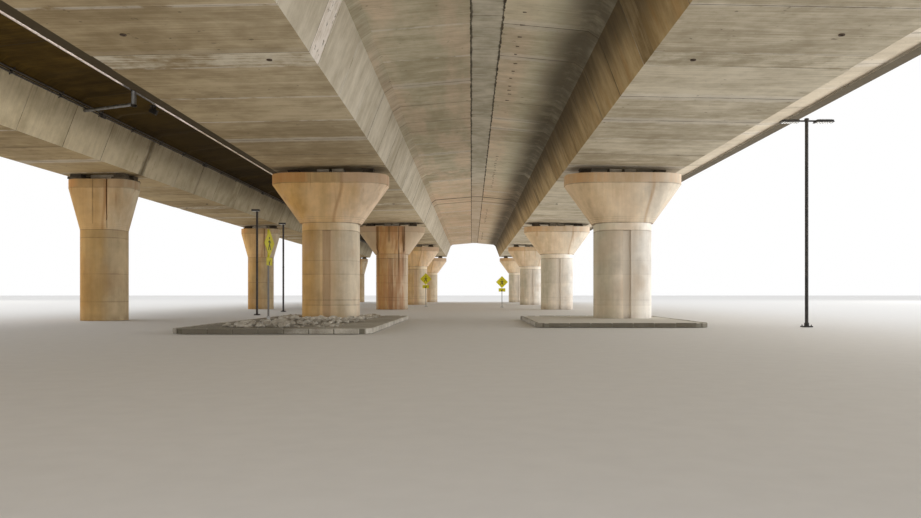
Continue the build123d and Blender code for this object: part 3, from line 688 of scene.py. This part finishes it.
def metal(name, base, worn, seed, roughness, metallic, last_layer=None):
    """Steel or painted metal with dull patches and a little dirt."""
    g = Graph(name, roughness, metallic)
    patch = g.even_noise(60.0, seed)
    fine = g.even_noise(500.0, seed + 2, 2.0, 0.5)
    g.colour = g.tint(g.band(patch, 0.4, 0.7), base, worn)
    if last_layer:
        last_layer(g, patch)
    return g.finish(patch * 0.6 + fine * 0.4, 0.1, 0.0005)


def zinc_posts(g, patch):
    """Dull zinc on the signs' posts, which start under each sign's lower plate."""
    far_foot = g.blend(g.band(g.x, 0.2, 0.4), 0.1735, 0.1415)
    plate_foot = g.blend(g.band(g.y, -1.0, 0.0), 0.2305, far_foot)
    zinc = g.scale((0.20, 0.19, 0.18), g.blend(patch, 0.7, 1.2))
    g.lay(g.fall(g.z - plate_foot, -0.0008, 0.0004), zinc)


def edge_paint(name, bright, far, dull):
    """Pale strip in the slit, whose paint stands in for the light seen there: bright near, darker and
    yellower far off as painted falloff of that light, dark round the drain's drop as its painted shadow, and
    a little dirty.
    """
    g = Graph(name, 0.6)
    fine = g.noise(g.x * 300.0, g.y * 14.0, g.z * 300.0, 3.0)
    drop = g.band(g.y, -3.24, -3.2) * g.fall(g.y, -2.93, -2.9)
    # Painted falloff of the light in the slit: bright near, darker and yellower far off
    g.colour = g.tint(g.band(g.y, -2.6, -2.3), bright, far)
    # Painted shadow round the drain's drop, and fine dirt all along
    g.lay(g.most(drop, g.band(fine, 0.52, 0.7) * 0.5), dull)
    return g.finish(fine, 0.15, 0.0006)


def paint(name, material):
    """Gives a CAD node its material."""
    mesh = NODES[name].data
    mesh.materials.clear()
    mesh.materials.append(material)


def paint_concrete():
    """Materials of everything cast."""
    for row in ROWS:
        row_seed = float(ord(row[0]))
        for index, pier in enumerate(PIERS[row]):
            name = f"{row}_girder_{index + 1}"
            paint(name, girder_concrete(name, pier, row, len(row) * 10.0 + index * 3.0 + row_seed))
        paint(f"{row}_midspan_pours", pour_concrete(f"{row}_pours", row, row_seed))
        paint(f"{row}_bearings", bearing_concrete(f"{row}_bearing_blocks", ROW_X[row], 5.0))
    columns = (
        ("west", MAIN_MARKS, WEST_TONES, 3.0, PIERS["west"][2]),
        ("east", MAIN_MARKS, EAST_TONES, 8.0, None),
        ("ramp", RAMP_MARKS, RAMP_TONES, 12.0, None),
    )
    for row, marks, tones, seed, rust_pier in columns:
        name = f"{row}_columns"
        paint(name, column_concrete(name, marks, tones, ROW_X[row], seed, rust_pier))
    paint("deck_closure_strip", closure_concrete("closure_strip", 2.0))
    barriers = {"east_barrier": 1.0, "west_barrier": 6.0, "median_barrier": 9.0, "ramp_barriers": 14.0}
    for name, seed in barriers.items():
        paint(name, barrier_concrete(name, seed))
    paint("kerb_islands", island_ground("island_ground", 4.0))


def paint_the_rest():
    """Materials of the road surface and the metal."""
    twin_edges, twin_lanes = (-0.74, 0.33, 0.48, 1.62), (-0.38, -0.02, 0.86, 1.24)
    paint("twin_road_surface", asphalt("twin_asphalt", 1.0, twin_edges, twin_lanes))
    paint("ramp_road_surface", asphalt("ramp_asphalt", 5.0, (-1.64, -0.96), (-1.3,)))
    yellow, faded = (0.56, 0.50, 0.003), (0.46, 0.40, 0.006)
    metals = (
        ("expansion_joint_seals", "seal_rubber", (0.03, 0.03, 0.03), (0.07, 0.065, 0.06), 1.0, 0.8, 0.0),
        ("drain_pipe", "galvanised", (0.36, 0.37, 0.38), (0.20, 0.19, 0.18), 2.0, 0.5, 0.6),
        ("ramp_conduits", "conduit", (0.11, 0.10, 0.09), (0.06, 0.05, 0.045), 3.0, 0.6, 0.3),
        ("lamp_posts", "lamp_paint", (0.035, 0.03, 0.028), (0.06, 0.05, 0.045), 4.0, 0.5, 0.2),
        ("crossing_signs", "sign_yellow", yellow, faded, 5.0, 0.5, 0.0, zinc_posts),
    )
    for node, *looks in metals:
        paint(node, metal(*looks))


def cad_surface():
    """Tree of all the CAD's faces, to find the surfaces that the pieces sit on."""
    points, faces = [], []
    for node in NODES.values():
        start = len(points)
        points += [vertex.co.copy() for vertex in node.data.vertices]
        faces += [[start + index for index in face.vertices] for face in node.data.polygons]
    return BVHTree.FromPolygons(points, faces)


SURFACE = cad_surface()


def underside(x, y, start=0.3):
    """Height of the first surface above a place."""
    return SURFACE.ray_cast(Vector((x, y, start)), UP)[0].z


def circle(radius, sides):
    """Points of a round outline about its middle."""
    angles = [2 * math.pi * count / sides for count in range(sides)]
    return [(radius * math.cos(angle), radius * math.sin(angle)) for angle in angles]


def spaced(start, end, step):
    """Evenly spaced places from start on, all before end."""
    return [start + step * count for count in range(math.ceil((end - start) / step))]


class Shape:
    """Points and faces of one added piece."""

    def __init__(self):
        self.points, self.faces = [], []

    def put(self, points, faces):
        start = len(self.points)
        self.points += [tuple(point) for point in points]
        self.faces += [tuple(start + index for index in face) for face in faces]

    def hull(self, points):
        """Closed convex solid round the points."""
        mesh = bmesh.new()
        for point in points:
            mesh.verts.new(point)
        bmesh.ops.convex_hull(mesh, input=mesh.verts)
        mesh.verts.index_update()
        mesh.verts.ensure_lookup_table()
        used = sorted({vertex.index for face in mesh.faces for vertex in face.verts})
        order = {index: count for count, index in enumerate(used)}
        faces = [[order[vertex.index] for vertex in face.verts] for face in mesh.faces]
        self.put([mesh.verts[index].co for index in used], faces)
        mesh.free()

    def skin(self, rings, open_start=False):
        """Surface through rings of equally many points, closed at its ends."""
        count = len(rings[0])
        points = [point for ring in rings for point in ring]
        faces = []
        for start in range(0, len(points) - count, count):
            for place in range(count):
                after = (place + 1) % count
                faces.append((start + place, start + after, start + count + after, start + count + place))
        if not open_start:
            faces.append(tuple(reversed(range(count))))
        faces.append(tuple(range(len(points) - count, len(points))))
        self.put(points, faces)

    def block(self, centre, size, bevel, turn=Matrix.Identity(3)):
        """Box with bevelled edges, turned by a matrix."""
        half = [length / 2 for length in size]
        points = []
        for signs in [(a, b, c) for a, b in CORNERS for c in (-1, 1)]:
            for kept in range(3):
                reach = [half[i] if i == kept else half[i] - bevel for i in range(3)]
                points.append(Vector(centre) + turn @ Vector([s * r for s, r in zip(signs, reach)]))
        self.hull(points)

    def blocks(self, first, step, count, size, bevel, turn=Matrix.Identity(3)):
        """Row of equal boxes."""
        for index in range(count):
            self.block(Vector(first) + Vector(step) * index, size, bevel, turn)

    def rod(self, start, end, radius, sides, bevel=0.0004):
        """Round bar with bevelled ends."""
        start, end = Vector(start), Vector(end)
        along = (end - start).normalized()
        spin = along.to_track_quat("Z", "Y").to_matrix()
        points = []
        for foot, way in ((start, 1), (end, -1)):
            for ring, step in ((radius - bevel, 0.0), (radius, bevel)):
                for offset in circle(ring, sides):
                    points.append(foot + spin @ Vector((*offset, 0.0)) + along * (step * way))
        self.hull(points)

    def bolts(self, middle, reach, sizes, turn=Matrix.Identity(3)):
        """Upright bolts at four corners round a place, each with one or more (height, radius, sides)."""
        for a, b in CORNERS:
            foot = Vector(middle) + turn @ Vector((a * reach[0], b * reach[1], 0.0))
            for height, radius, sides in sizes:
                self.rod(foot, foot + UP * height, radius, sides)

    def plate(self, outline, scale, thickness, place):
        """Flat plate from a convex outline of (across, up), facing the front of a place matrix."""
        depths = (0.0, -thickness)
        self.hull([place @ Vector((a * scale, depth, u * scale)) for depth in depths for a, u in outline])

    def made(self, name, material):
        """Object of the shape, which rides on the structure."""
        mesh = bpy.data.meshes.new(name)
        mesh.from_pydata(self.points, [], self.faces)
        smooth = bmesh.new()
        smooth.from_mesh(mesh)
        bmesh.ops.recalc_face_normals(smooth, faces=smooth.faces)
        smooth.to_mesh(mesh)
        smooth.free()
        mesh.materials.append(material)
        piece = bpy.data.objects.new(name, mesh)
        bpy.context.scene.collection.objects.link(piece)
        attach(piece, "root")


def closure_mortar(shape):
    """Ragged mortar that was squeezed out along both edges of the closure."""
    outer_z = underside(CLOSURE_X - HALF_CLOSURE - 0.004, -4.4)
    inner_z = underside(CLOSURE_X, -4.4)
    step, inset, sunk = 0.009, 0.015, 0.0006
    for side, share in ((-1, 0.7), (1, 1.0)):
        rings, width, drop = [], 0.003, 0.001
        for count in range(int((DECK_END - inset) * 2 / step)):
            width = 0.6 * width + 0.4 * random.uniform(0.0012, 0.0072) * share
            drop = 0.45 * drop + 0.55 * random.uniform(-0.0016, 0.0036) * share
            edge = CLOSURE_X + side * (HALF_CLOSURE + random.uniform(-0.0006, 0.0006))
            heights = (outer_z + sunk, outer_z - 0.6 * drop, outer_z - drop, inner_z - drop, inner_z + sunk)
            reaches = (width, 0.45 * width, 0.0, -0.5 * width, -width)
            y = -DECK_END + inset + count * step
            rings.append([(edge + side * reach, y, z) for reach, z in zip(reaches, heights)])
        shape.skin(rings)


def tie_stubs(shape):
    """Row of cut tie bars in the east wing beside the closure, and their far repeats."""
    for pier, reach in zip(PIERS["east"], (3.0, 2.2, 2.2, 2.2)):
        y = pier + 0.85
        while y < pier + reach:
            x = TWIN_X + 0.118 + random.uniform(-0.004, 0.004)
            width = random.uniform(0.006, 0.015)
            shape.block((x, y, underside(x, y)), (width, 0.0034, 0.0036), 0.0008)
            y += random.uniform(0.055, 0.11)


def slit_flashing(shape):
    """Pale metal edge along the ramp's wing, in lengths with small gaps, that shows in the slit, its pale
    paint a stand-in for the light seen there.
    """
    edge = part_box("ramp_girder_1")[1].x
    lean = Matrix.Rotation(math.radians(-12.0), 3, "Y")
    gap = 0.004
    length = BLOCK - gap
    for y in spaced(-DECK_END + gap, DECK_END - length, BLOCK):
        middle = y + length / 2
        low = underside(edge - 0.004, middle)
        sag = random.uniform(-0.0006, 0.0006)
        shape.block((edge + 0.0012, middle, low - 0.0042 + sag), (0.0014, length, 0.0150), 0.0004, lean)
        shape.block((edge - 0.0105, middle, low - 0.0008), (0.012, length, 0.0012), 0.0003)
        for share in (0.2, 0.5, 0.8):
            screw = Vector((edge - 0.0125, y + share * length, low - 0.0012))
            shape.rod(screw + UP * 0.001, screw - UP * 0.0018, 0.0016, 6)


def conduit_clips(shape):
    """Saddles that hold both conduits at every joint, and a junction box at each fourth."""
    low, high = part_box("ramp_conduits")
    radius = 0.003
    lower = (low.x + radius, low.z + radius, Matrix.Rotation(math.atan(0.383), 3, "Y"))
    upper = (high.x - radius, high.z - radius, Matrix.Rotation(math.atan(1.45), 3, "Y"))
    for count, y in enumerate(spaced(-DECK_END + 0.14, DECK_END - 0.05, BLOCK)):
        for x, z, lean in (lower, upper):
            shape.block((x + 0.0004, y, z), (0.0072, 0.008, 0.0082), 0.0012, lean)
            for up in (-0.0062, 0.0062):
                foot = Vector((x, y, z)) + lean @ Vector((-0.0024, 0.0, up))
                shape.block(foot, (0.0022, 0.0065, 0.0048), 0.0006, lean)
        if count % 4 == 2:
            x, z, lean = lower
            shape.block((x + 0.0012, y + 0.026, z), (0.0105, 0.034, 0.014), 0.0018, lean)


def under_deck_lamp(shape):
    """Small floodlight under the edge of the ramp's wing, and sleeves on the drain pipe's drop."""
    x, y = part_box("ramp_girder_1")[1].x - 0.022, -2.87
    top = underside(x, y)
    shape.block((x, y, top - 0.0015), (0.028, 0.022, 0.003), 0.0008)
    for side in (-1, 1):
        shape.block((x, y + side * 0.0125, top - 0.012), (0.006, 0.0025, 0.022), 0.0006)
    tilt = Matrix.Rotation(0.5, 3, "Y")
    body = Vector((x - 0.002, y, top - 0.024))
    shape.block(body, (0.030, 0.022, 0.017), 0.003, tilt)
    first, step = tilt @ Vector((-0.0125, 0.0, 0.0095)), tilt @ Vector((0.005, 0.0, 0.0))
    shape.blocks(body + first, step, 6, (0.0012, 0.0205, 0.004), 0.0003, tilt)
    low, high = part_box("drain_pipe")
    half = UP * 0.0035
    for height in (low.z + 0.0035, high.z - 0.0145):
        sleeve = Vector((high.x - 0.009, low.y + 0.009, height))
        shape.rod(sleeve - half, sleeve + half, 0.0112, 20, 0.0008)


def foot_rubble(shape):
    """Stones heaped in front of the second west column and round its foot, as in the photograph."""
    place = Vector((ROW_X["west"], PIERS["west"][1], ISLAND_TOP))
    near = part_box("kerb_islands")[0].y - place.y + 0.1
    half = 0.121
    for count in range(330):
        size = random.uniform(0.008, 0.021)
        front = count % 5 != 0
        across = random.uniform(-0.2, 0.2)
        back = random.uniform(near, -half - 0.01) if front else random.uniform(-0.18, 0.2)
        if not front:
            across = math.copysign(random.uniform(half + 0.012, 0.2), across)
        elif across > 0.06 and back < -0.7:
            size *= 0.5
        centre = place + Vector((across, back, size * random.uniform(0.1, 0.35)))
        points = []
        for _ in range(16):
            way = Vector([random.gauss(0.0, 1.0) for _ in range(3)]).normalized()
            reach = [size * random.uniform(0.75, 1.1) * share for share in (1.0, 0.85, 0.62)]
            points.append(centre + Vector([w * r for w, r in zip(way, reach)]))
        shape.hull([(p.x, p.y, max(p.z, ISLAND_TOP + 0.0002)) for p in points])


def kerb_loops():
    """Outlines of the islands' tops, as loops of points."""
    mesh = NODES["kerb_islands"].data
    spots = [(round(vertex.co.x, 5), round(vertex.co.y, 5)) for vertex in mesh.vertices]
    uses, near = {}, {}
    for face in mesh.polygons:
        corners = [spots[index] for index in face.vertices] if face.normal.z >= 0.9 else []
        for edge in zip(corners, corners[1:] + corners[:1]):
            uses[frozenset(edge)] = uses.get(frozenset(edge), 0) + 1
    for edge, count in uses.items():
        if count == 1 and len(edge) == 2:
            a, b = edge
            near.setdefault(a, []).append(b)
            near.setdefault(b, []).append(a)
    loops, seen = [], set()
    for start in sorted(near):
        loop, ahead = [], [start]
        while ahead and ahead[0] not in seen:
            loop.append(ahead[0])
            seen.add(ahead[0])
            ahead = [point for point in near[ahead[0]] if point not in seen]
        if loop:
            loops.append(loop)
    return loops


def kerb_stones(shape):
    """Kerb stones that edge both islands, each a little out of line, and short in the corners."""
    width, stone, gap = 0.011, 0.075, 0.0016
    for loop in kerb_loops():
        low, high = (Vector([end(values) for values in zip(*loop)]) for end in (min, max))
        if high.x - low.x < 0.3:
            continue
        middle = (low + high) / 2
        ring = [Vector(point) for point in loop]
        lengths = [(b - a).length for a, b in zip(ring, ring[1:] + ring[:1])]
        number = round(sum(lengths) / stone)
        spacing = sum(lengths) / number
        for index in range(number):
            ahead, side = (index + 0.5) * spacing, 0
            while ahead > lengths[side]:
                ahead -= lengths[side]
                side += 1
            a, b = ring[side], ring[(side + 1) % len(ring)]
            along = (b - a).normalized()
            point = a + along * ahead
            inward = Vector((-along.y, along.x))
            if inward.dot(middle - point) < 0:
                inward = -inward
            length = 0.5 * spacing if lengths[side] < 0.02 else spacing - gap
            turn = Matrix.Rotation(math.atan2(along.y, along.x) + random.uniform(-0.006, 0.006), 3, "Z")
            inner = point + inward * (width / 2 - 0.0012)
            tall = ISLAND_TOP + 0.0016 + random.uniform(-0.0005, 0.0005)
            shape.block((inner.x, inner.y, tall / 2), (length, width, tall), 0.0018, turn)


# Each sign: across from the twin decks' middle and along from the second pier, turn, foot and top
SIGN_PLACES = (
    (-0.808, -0.47, 84.0, ISLAND_TOP, 0.370),
    (-0.446, 3.96, 0.0, 0.0, 0.313),
    (0.25, 3.71, 0.0, 0.0, 0.281),
)

# The plates' front from the post's middle, and how far the diamond's and the plaque's are under the top
SIGN_FRONT = -0.0045
DIAMOND_REACH = 0.0537
PLAQUE_DROP = 0.1245
INK = 0.0004

# Outlines of a walker in a diamond of reach 1, and of an arrow for the plaque under it
WALKER = (
    ((-0.10, 0.18), (0.08, 0.22), (0.12, -0.06), (-0.06, -0.08)),
    ((-0.06, -0.06), (0.08, -0.06), (0.26, -0.46), (0.14, -0.50)),
    ((-0.06, -0.06), (0.06, -0.10), (-0.10, -0.30), (-0.18, -0.24)),
    ((-0.18, -0.24), (-0.10, -0.30), (-0.22, -0.52), (-0.32, -0.48)),
    ((0.06, 0.20), (0.12, 0.10), (0.32, -0.02), (0.28, 0.07)),
    ((-0.08, 0.20), (-0.12, 0.10), (-0.30, 0.0), (-0.26, 0.10)),
    tuple((a, 0.36 + u) for a, u in circle(0.09, 12)),
)
ARROW = (
    ((-0.30, -0.42), (-0.30, 0.12), (0.20, -0.42)),
    ((-0.08, -0.14), (0.24, 0.26), (0.34, 0.18), (0.02, -0.24)),
)
ARROW_REACH = 0.03

# Each symbol's outlines, their reach, and how far it sits under the sign's top
SYMBOLS = ((WALKER, DIAMOND_REACH, DIAMOND_REACH), (ARROW, ARROW_REACH, PLAQUE_DROP))


def sign_stand(across, along, turn):
    """Place of a crossing sign's foot, turned about its post."""
    spot = Matrix.Translation((TWIN_X + across, PIERS["east"][1] + along, 0.0))
    return spot @ Matrix.Rotation(math.radians(turn), 4, "Z")


def sign_symbols(shape):
    """Generic walking figure and arrow on the crossing signs."""
    for across, along, turn, _, top in SIGN_PLACES:
        for outlines, reach, drop in SYMBOLS:
            face = sign_stand(across, along, turn) @ Matrix.Translation((0.0, SIGN_FRONT, top - drop))
            for outline in outlines:
                shape.plate(outline, reach, INK, face)


def sign_fittings(shape):
    """Brackets behind the plates, and a footing sleeve with its bolts at each sign's post."""
    for across, along, angle, ground, top in SIGN_PLACES:
        stand = sign_stand(across, along, angle)
        foot, turn = stand.translation, stand.to_3x3()
        middle = top - DIAMOND_REACH
        for height in (middle + 0.024, middle - 0.024, top - PLAQUE_DROP):
            shape.block(foot + UP * height, (0.0165, 0.0078, 0.0045), 0.0008, turn)
            for side in (-1, 1):
                ends = [stand @ Vector((side * 0.0062, back, height)) for back in (0.0036, 0.0062)]
                shape.rod(*ends, 0.0013, 6)
        shape.block(foot + UP * (ground + 0.0012), (0.034, 0.034, 0.0022), 0.0008, turn)
        shape.block(foot + UP * (ground + 0.0105), (0.0105, 0.0105, 0.019), 0.0012, turn)
        shape.bolts(foot + UP * (ground + 0.0015), (0.0125, 0.0125), [(0.0032, 0.0018, 6)], turn)


# Lamp posts: across from the twin decks' middle and along from the second pier, and a head from its foot
LAMP_PLACES = ((-1.239, 1.01), (-1.292, 1.89))
LAMP_FEET = [Vector((TWIN_X + across, PIERS["east"][1] + along, 0.0)) for across, along in LAMP_PLACES]
LAMP_HEAD = Vector((-0.007, 0.0, 0.595))


def lamp_fittings(shape):
    """Anchor bolts, door and head seams of the lamp posts."""
    for foot in LAMP_FEET:
        shape.bolts(foot + UP * 0.0035, (0.011, 0.011), [(0.005, 0.0012, 8), (0.0027, 0.0023, 6)])
        shape.block(foot + Vector((0.0, -0.0052, 0.052)), (0.0062, 0.0016, 0.017), 0.0005)
        for height in (0.0075, 0.3, 0.585):
            shape.block(foot + UP * height, (0.0122, 0.0122, 0.004), 0.0009)
        head = foot + LAMP_HEAD
        shape.block(head + UP * 0.0044, (0.0415, 0.0215, 0.0014), 0.0006)
        fin = (0.0011, 0.019, 0.0012)
        shape.blocks(head + Vector((-0.015, 0.0, 0.0048)), (0.005, 0.0, 0.0), 7, fin, 0.0003)
        shape.block(head - UP * 0.0046, (0.0455, 0.0255, 0.0016), 0.0006)


def lamp_glass(shape):
    """Milky glass under the lamp heads."""
    for foot in LAMP_FEET:
        for side in (-1, 1):
            pane = foot + LAMP_HEAD + Vector((0.0, side * 0.0082, -0.0054))
            shape.block(pane, (0.036, 0.005, 0.0022), 0.0009)
            first = pane + Vector((-0.015, 0.0, -0.001))
            shape.blocks(first, (0.0075, 0.0, 0.0), 5, (0.005, 0.0038, 0.0014), 0.0005)


OPEN_LAMP_FOOT = Vector((1.60, -3.14, 0.0))
OPEN_LAMP_TOP = OPEN_LAMP_FOOT + UP * 0.752
OPEN_LAMP_HEADS = [OPEN_LAMP_TOP + Vector((side * 0.062, 0.0, -0.0045)) for side in (-1, 1)]


def open_side_lamp_glass(shape):
    """Two rows of lenses under each head of the taller lamp."""
    for head in OPEN_LAMP_HEADS:
        for row in (-1, 1):
            first = head + Vector((-0.023, row * 0.008, -0.0052))
            shape.blocks(first, (0.0092, 0.0, 0.0), 6, (0.0066, 0.0095, 0.0014), 0.0005)


def open_side_lamp(shape):
    """Taller lamp with two flat heads that stands under the edge of the east wing."""
    foot, top = OPEN_LAMP_FOOT, OPEN_LAMP_TOP
    shape.block(foot + UP * 0.002, (0.034, 0.034, 0.004), 0.0008)
    shape.bolts(foot + UP * 0.0035, (0.012, 0.012), [(0.006, 0.0012, 8), (0.003, 0.0024, 6)])
    shape.rod(foot + UP * 0.003, top, 0.0062, 20, 0.0008)
    shape.rod(foot + UP * 0.003, foot + UP * 0.016, 0.0085, 20, 0.0016)
    shape.rod(top - UP * 0.004, top + UP * 0.006, 0.008, 20, 0.0014)
    shape.block(foot + Vector((0.0, -0.0058, 0.055)), (0.0068, 0.002, 0.018), 0.0006)
    for side, head in zip((-1, 1), OPEN_LAMP_HEADS):
        shape.block(top + Vector((side * 0.018, 0.0, -0.0035)), (0.028, 0.007, 0.0055), 0.0012)
        shape.block(head, (0.064, 0.034, 0.008), 0.0024)
        shape.block(head - UP * 0.0035, (0.0665, 0.0365, 0.0026), 0.001)
        fin = (0.0012, 0.028, 0.0016)
        shape.blocks(head + Vector((-0.022, 0.0, 0.0046)), (0.0055, 0.0, 0.0), 9, fin, 0.0003)


def bearing_plates(shape):
    """Steel plates and bolts over and under the bearings on every column."""
    for row, offset in (("west", 0.165), ("east", 0.165), ("ramp", 0.098)):
        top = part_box(f"{row}_columns")[1].z
        for pier in PIERS[row]:
            lines = (pier - 0.05, pier + 0.05) if pier == JOINT_Y[row] else (pier,)
            for y, side in [(line, side) for line in lines for side in (-1, 1)]:
                spot = Vector((ROW_X[row] + side * offset, y, top))
                roof = underside(spot.x, y + 0.03, top + 0.0115)
                shape.block(spot + UP * 0.0108, (0.0505, 0.0525, 0.0016), 0.0004)
                shape.block((spot.x, y, roof - 0.0009), (0.0525, 0.0545, 0.0016), 0.0004)
                shape.bolts(spot + UP * 0.0095, (0.0275, 0.0325), [(0.005, 0.0014, 6)])


def soffit_vents(shape):
    """Short vent pipes in the floors of the girders, two near the middle of each bay."""
    profile = ((0.0068, 0.001), (0.0068, -0.0026), (0.0048, -0.0026), (0.0044, 0.001))
    for row, way in (("west", -1), ("east", 1), ("ramp", 0.75)):
        for a, b in zip(PIERS[row], PIERS[row][1:]):
            for across, along in ((0.113, -0.205), (-0.1445, 0.002)):
                x, y = ROW_X[row] + way * across, (a + b) / 2 + along
                roof = underside(x, y)
                rings = [[(x + u, y + v, roof + up) for u, v in circle(radius, 14)] for radius, up in profile]
                shape.skin(rings, open_start=True)


def deck_grates(shape):
    """Gutter grates along the barriers on top of the decks."""
    for x in (-0.782, 1.664, 0.362, 0.448, -0.887, -1.713):
        for y in spaced(-DECK_END + 0.62, DECK_END - 0.3, 1.55):
            spot = SURFACE.ray_cast(Vector((x, y, 2.0)), -UP)[0]
            for side in (-1, 1):
                shape.block(spot + Vector((side * 0.0088, 0.0, 0.0004)), (0.0018, 0.046, 0.0016), 0.0003)
                shape.block(spot + Vector((0.0, side * 0.022, 0.0004)), (0.0194, 0.0018, 0.0016), 0.0003)
            first = spot + Vector((0.0, -0.018, 0.0003))
            shape.blocks(first, (0.0, 0.0045, 0.0), 9, (0.0172, 0.0014, 0.0012), 0.0002)


def add_pieces():
    """All the pieces that the CAD leaves out, each made and named by its own function."""
    mortar = plain_concrete("mortar", ((0.035, 0.028, 0.02), (0.16, 0.13, 0.09)), 21.0)
    rubble = plain_concrete("rubble", ((0.30, 0.27, 0.22), (0.70, 0.66, 0.58)), 24.0)
    kerb = kerb_concrete("kerb_edge", ((0.34, 0.31, 0.26), (0.68, 0.65, 0.58)), (0.12, 0.105, 0.075), 27.0)
    rusty = metal("rusty_steel", (0.12, 0.085, 0.06), (0.055, 0.038, 0.026), 31.0, 0.8, 0.2)
    black = metal("black_paint", (0.02, 0.019, 0.018), (0.05, 0.042, 0.035), 33.0, 0.55, 0.1)
    zinc = metal("dull_zinc", (0.42, 0.42, 0.41), (0.25, 0.24, 0.225), 35.0, 0.55, 0.4)
    edge = edge_paint("pale_edge", (0.80, 0.72, 0.68), (0.50, 0.43, 0.32), (0.06, 0.05, 0.04))
    glass = metal("milky_glass", (0.82, 0.82, 0.80), (0.70, 0.70, 0.68), 37.0, 0.25, 0.0)
    pieces = (
        (closure_mortar, "closure_concrete", mortar),
        (tie_stubs, "lamp_metal", rusty),
        (slit_flashing, "galvanised_pipe", edge),
        (conduit_clips, "galvanised_pipe", black),
        (under_deck_lamp, "lamp_metal", black),
        (foot_rubble, "kerb_concrete", rubble),
        (kerb_stones, "kerb_concrete", kerb),
        (sign_symbols, "sign_metal", black),
        (sign_fittings, "galvanised_pipe", zinc),
        (lamp_fittings, "lamp_metal", black),
        (lamp_glass, "sign_metal", glass),
        (open_side_lamp_glass, "sign_metal", glass),
        (open_side_lamp, "lamp_metal", black),
        (bearing_plates, "lamp_metal", rusty),
        (soffit_vents, "lamp_metal", rusty),
        (deck_grates, "lamp_metal", black),
    )
    for build, slot, material in pieces:
        shape = Shape()
        build(shape)
        shape.made(build.__name__, material)


def add_floor():
    """Plain pale floor, just under the columns' feet."""
    reach, level = 60.0, -0.001
    mesh = bpy.data.meshes.new("floor")
    corners = [(-reach, -reach, level), (reach, -reach, level), (reach, reach, level), (-reach, reach, level)]
    mesh.from_pydata(corners, [], [(0, 1, 2, 3)])
    floor = bpy.data.objects.new("floor", mesh)
    bpy.context.scene.collection.objects.link(floor)
    g = Graph("floor", 0.9)
    grain = g.even_noise(30.0, 1.0, 3.0, 0.5)
    g.colour = g.tint(grain, (0.67, 0.66, 0.64), (0.74, 0.73, 0.71))
    floor.data.materials.append(g.finish(grain, 0.1, 0.001))


def area_light(name, place, tilt, turn, size, power, colour):
    """Soft panel of light that the camera doesn't see, tilted from straight down."""
    light = bpy.data.lights.new(name, "AREA")
    light.shape = "RECTANGLE"
    light.size, light.size_y = size
    light.energy = power
    light.color = colour
    panel = bpy.data.objects.new(name, light)
    bpy.context.scene.collection.objects.link(panel)
    panel.location = place
    panel.rotation_euler = (tilt, 0.0, turn)
    panel.visible_camera = False


def add_sky():
    """Sky that lights the scene, and plain white where the camera, a mirror or a glass sees it."""
    world = bpy.data.worlds.new("sky")
    bpy.context.scene.world = world
    world.use_nodes = True
    nodes, links = world.node_tree.nodes, world.node_tree.links
    sky = nodes["Background"]
    sky.inputs["Color"].default_value = (0.97, 0.98, 1.0, 1.0)
    sky.inputs["Strength"].default_value = 1.1
    white = nodes.new("ShaderNodeBackground")
    white.inputs["Color"].default_value = (1.0, 1.0, 1.0, 1.0)
    white.inputs["Strength"].default_value = 1.0
    path = nodes.new("ShaderNodeLightPath")
    choice = nodes.new("ShaderNodeMixShader")
    seen = path.outputs["Is Camera Ray"]
    for ray in ("Is Glossy Ray", "Is Transmission Ray"):
        either = nodes.new("ShaderNodeMath")
        either.operation = "MAXIMUM"
        links.new(seen, either.inputs[0])
        links.new(path.outputs[ray], either.inputs[1])
        seen = either.outputs[0]
    links.new(seen, choice.inputs[0])
    links.new(sky.outputs[0], choice.inputs[1])
    links.new(white.outputs[0], choice.inputs[2])
    links.new(choice.outputs[0], nodes["World Output"].inputs["Surface"])


def add_light():
    """Light from both open sides and, under the decks, from the bright ground."""
    warm, warmer = (1.0, 0.98, 0.95), (1.0, 0.96, 0.9)
    inwards, up, down, quarter = math.atan2(9.4, 1.6), math.pi, 0.0, math.pi / 2
    panels = (
        ("east_side", (10.0, -4.0, 2.0), inwards, quarter, (24.0, 3.2), 700.0, warm),
        ("west_side", (-10.0, -4.0, 2.0), inwards, -quarter, (24.0, 3.2), 480.0, warmer),
        ("east_ground", (4.2, -0.5, 0.02), up, 0.0, (3.6, 13.0), 430.0, warm),
        ("west_ground", (-4.2, -0.5, 0.02), up, 0.0, (3.6, 13.0), 235.0, warmer),
        ("aisle_ground", (0.38, 0.0, 0.02), up, 0.0, (0.6, 12.0), 10.4, warm),
        ("far_aisle_ground", (0.38, 2.5, 0.02), up, 0.0, (0.6, 7.0), 6.6, warm),
        ("side_ground", (-0.75, -3.8, 0.02), up, 0.0, (0.4, 4.5), 2.2, warm),
        ("slit_sky", (-0.8475, 0.0, 0.875), down, 0.0, (0.009, 12.0), 1.2, warm),
    )
    for panel in panels:
        area_light(*panel)


def add_camera():
    """The photograph's view: level, along the road."""
    data = bpy.data.cameras.new("camera")
    data.sensor_width = SENSOR
    data.lens = FOCAL_PIXELS / PICTURE[0] * SENSOR
    data.shift_x = (PICTURE[0] / 2 - VANISHING_POINT[0]) / PICTURE[0]
    data.shift_y = (VANISHING_POINT[1] - PICTURE[1] / 2) / PICTURE[0]
    data.clip_start = 0.01
    data.clip_end = 200.0
    camera = bpy.data.objects.new("camera", data)
    bpy.context.scene.collection.objects.link(camera)
    camera.location = EYE
    camera.rotation_euler = (math.pi / 2, 0.0, 0.0)
    bpy.context.scene.camera = camera


random.seed(7)
bpy.context.scene.view_settings.view_transform = "Standard"
paint_concrete()
paint_the_rest()
add_pieces()
add_floor()
add_sky()
add_light()
add_camera()
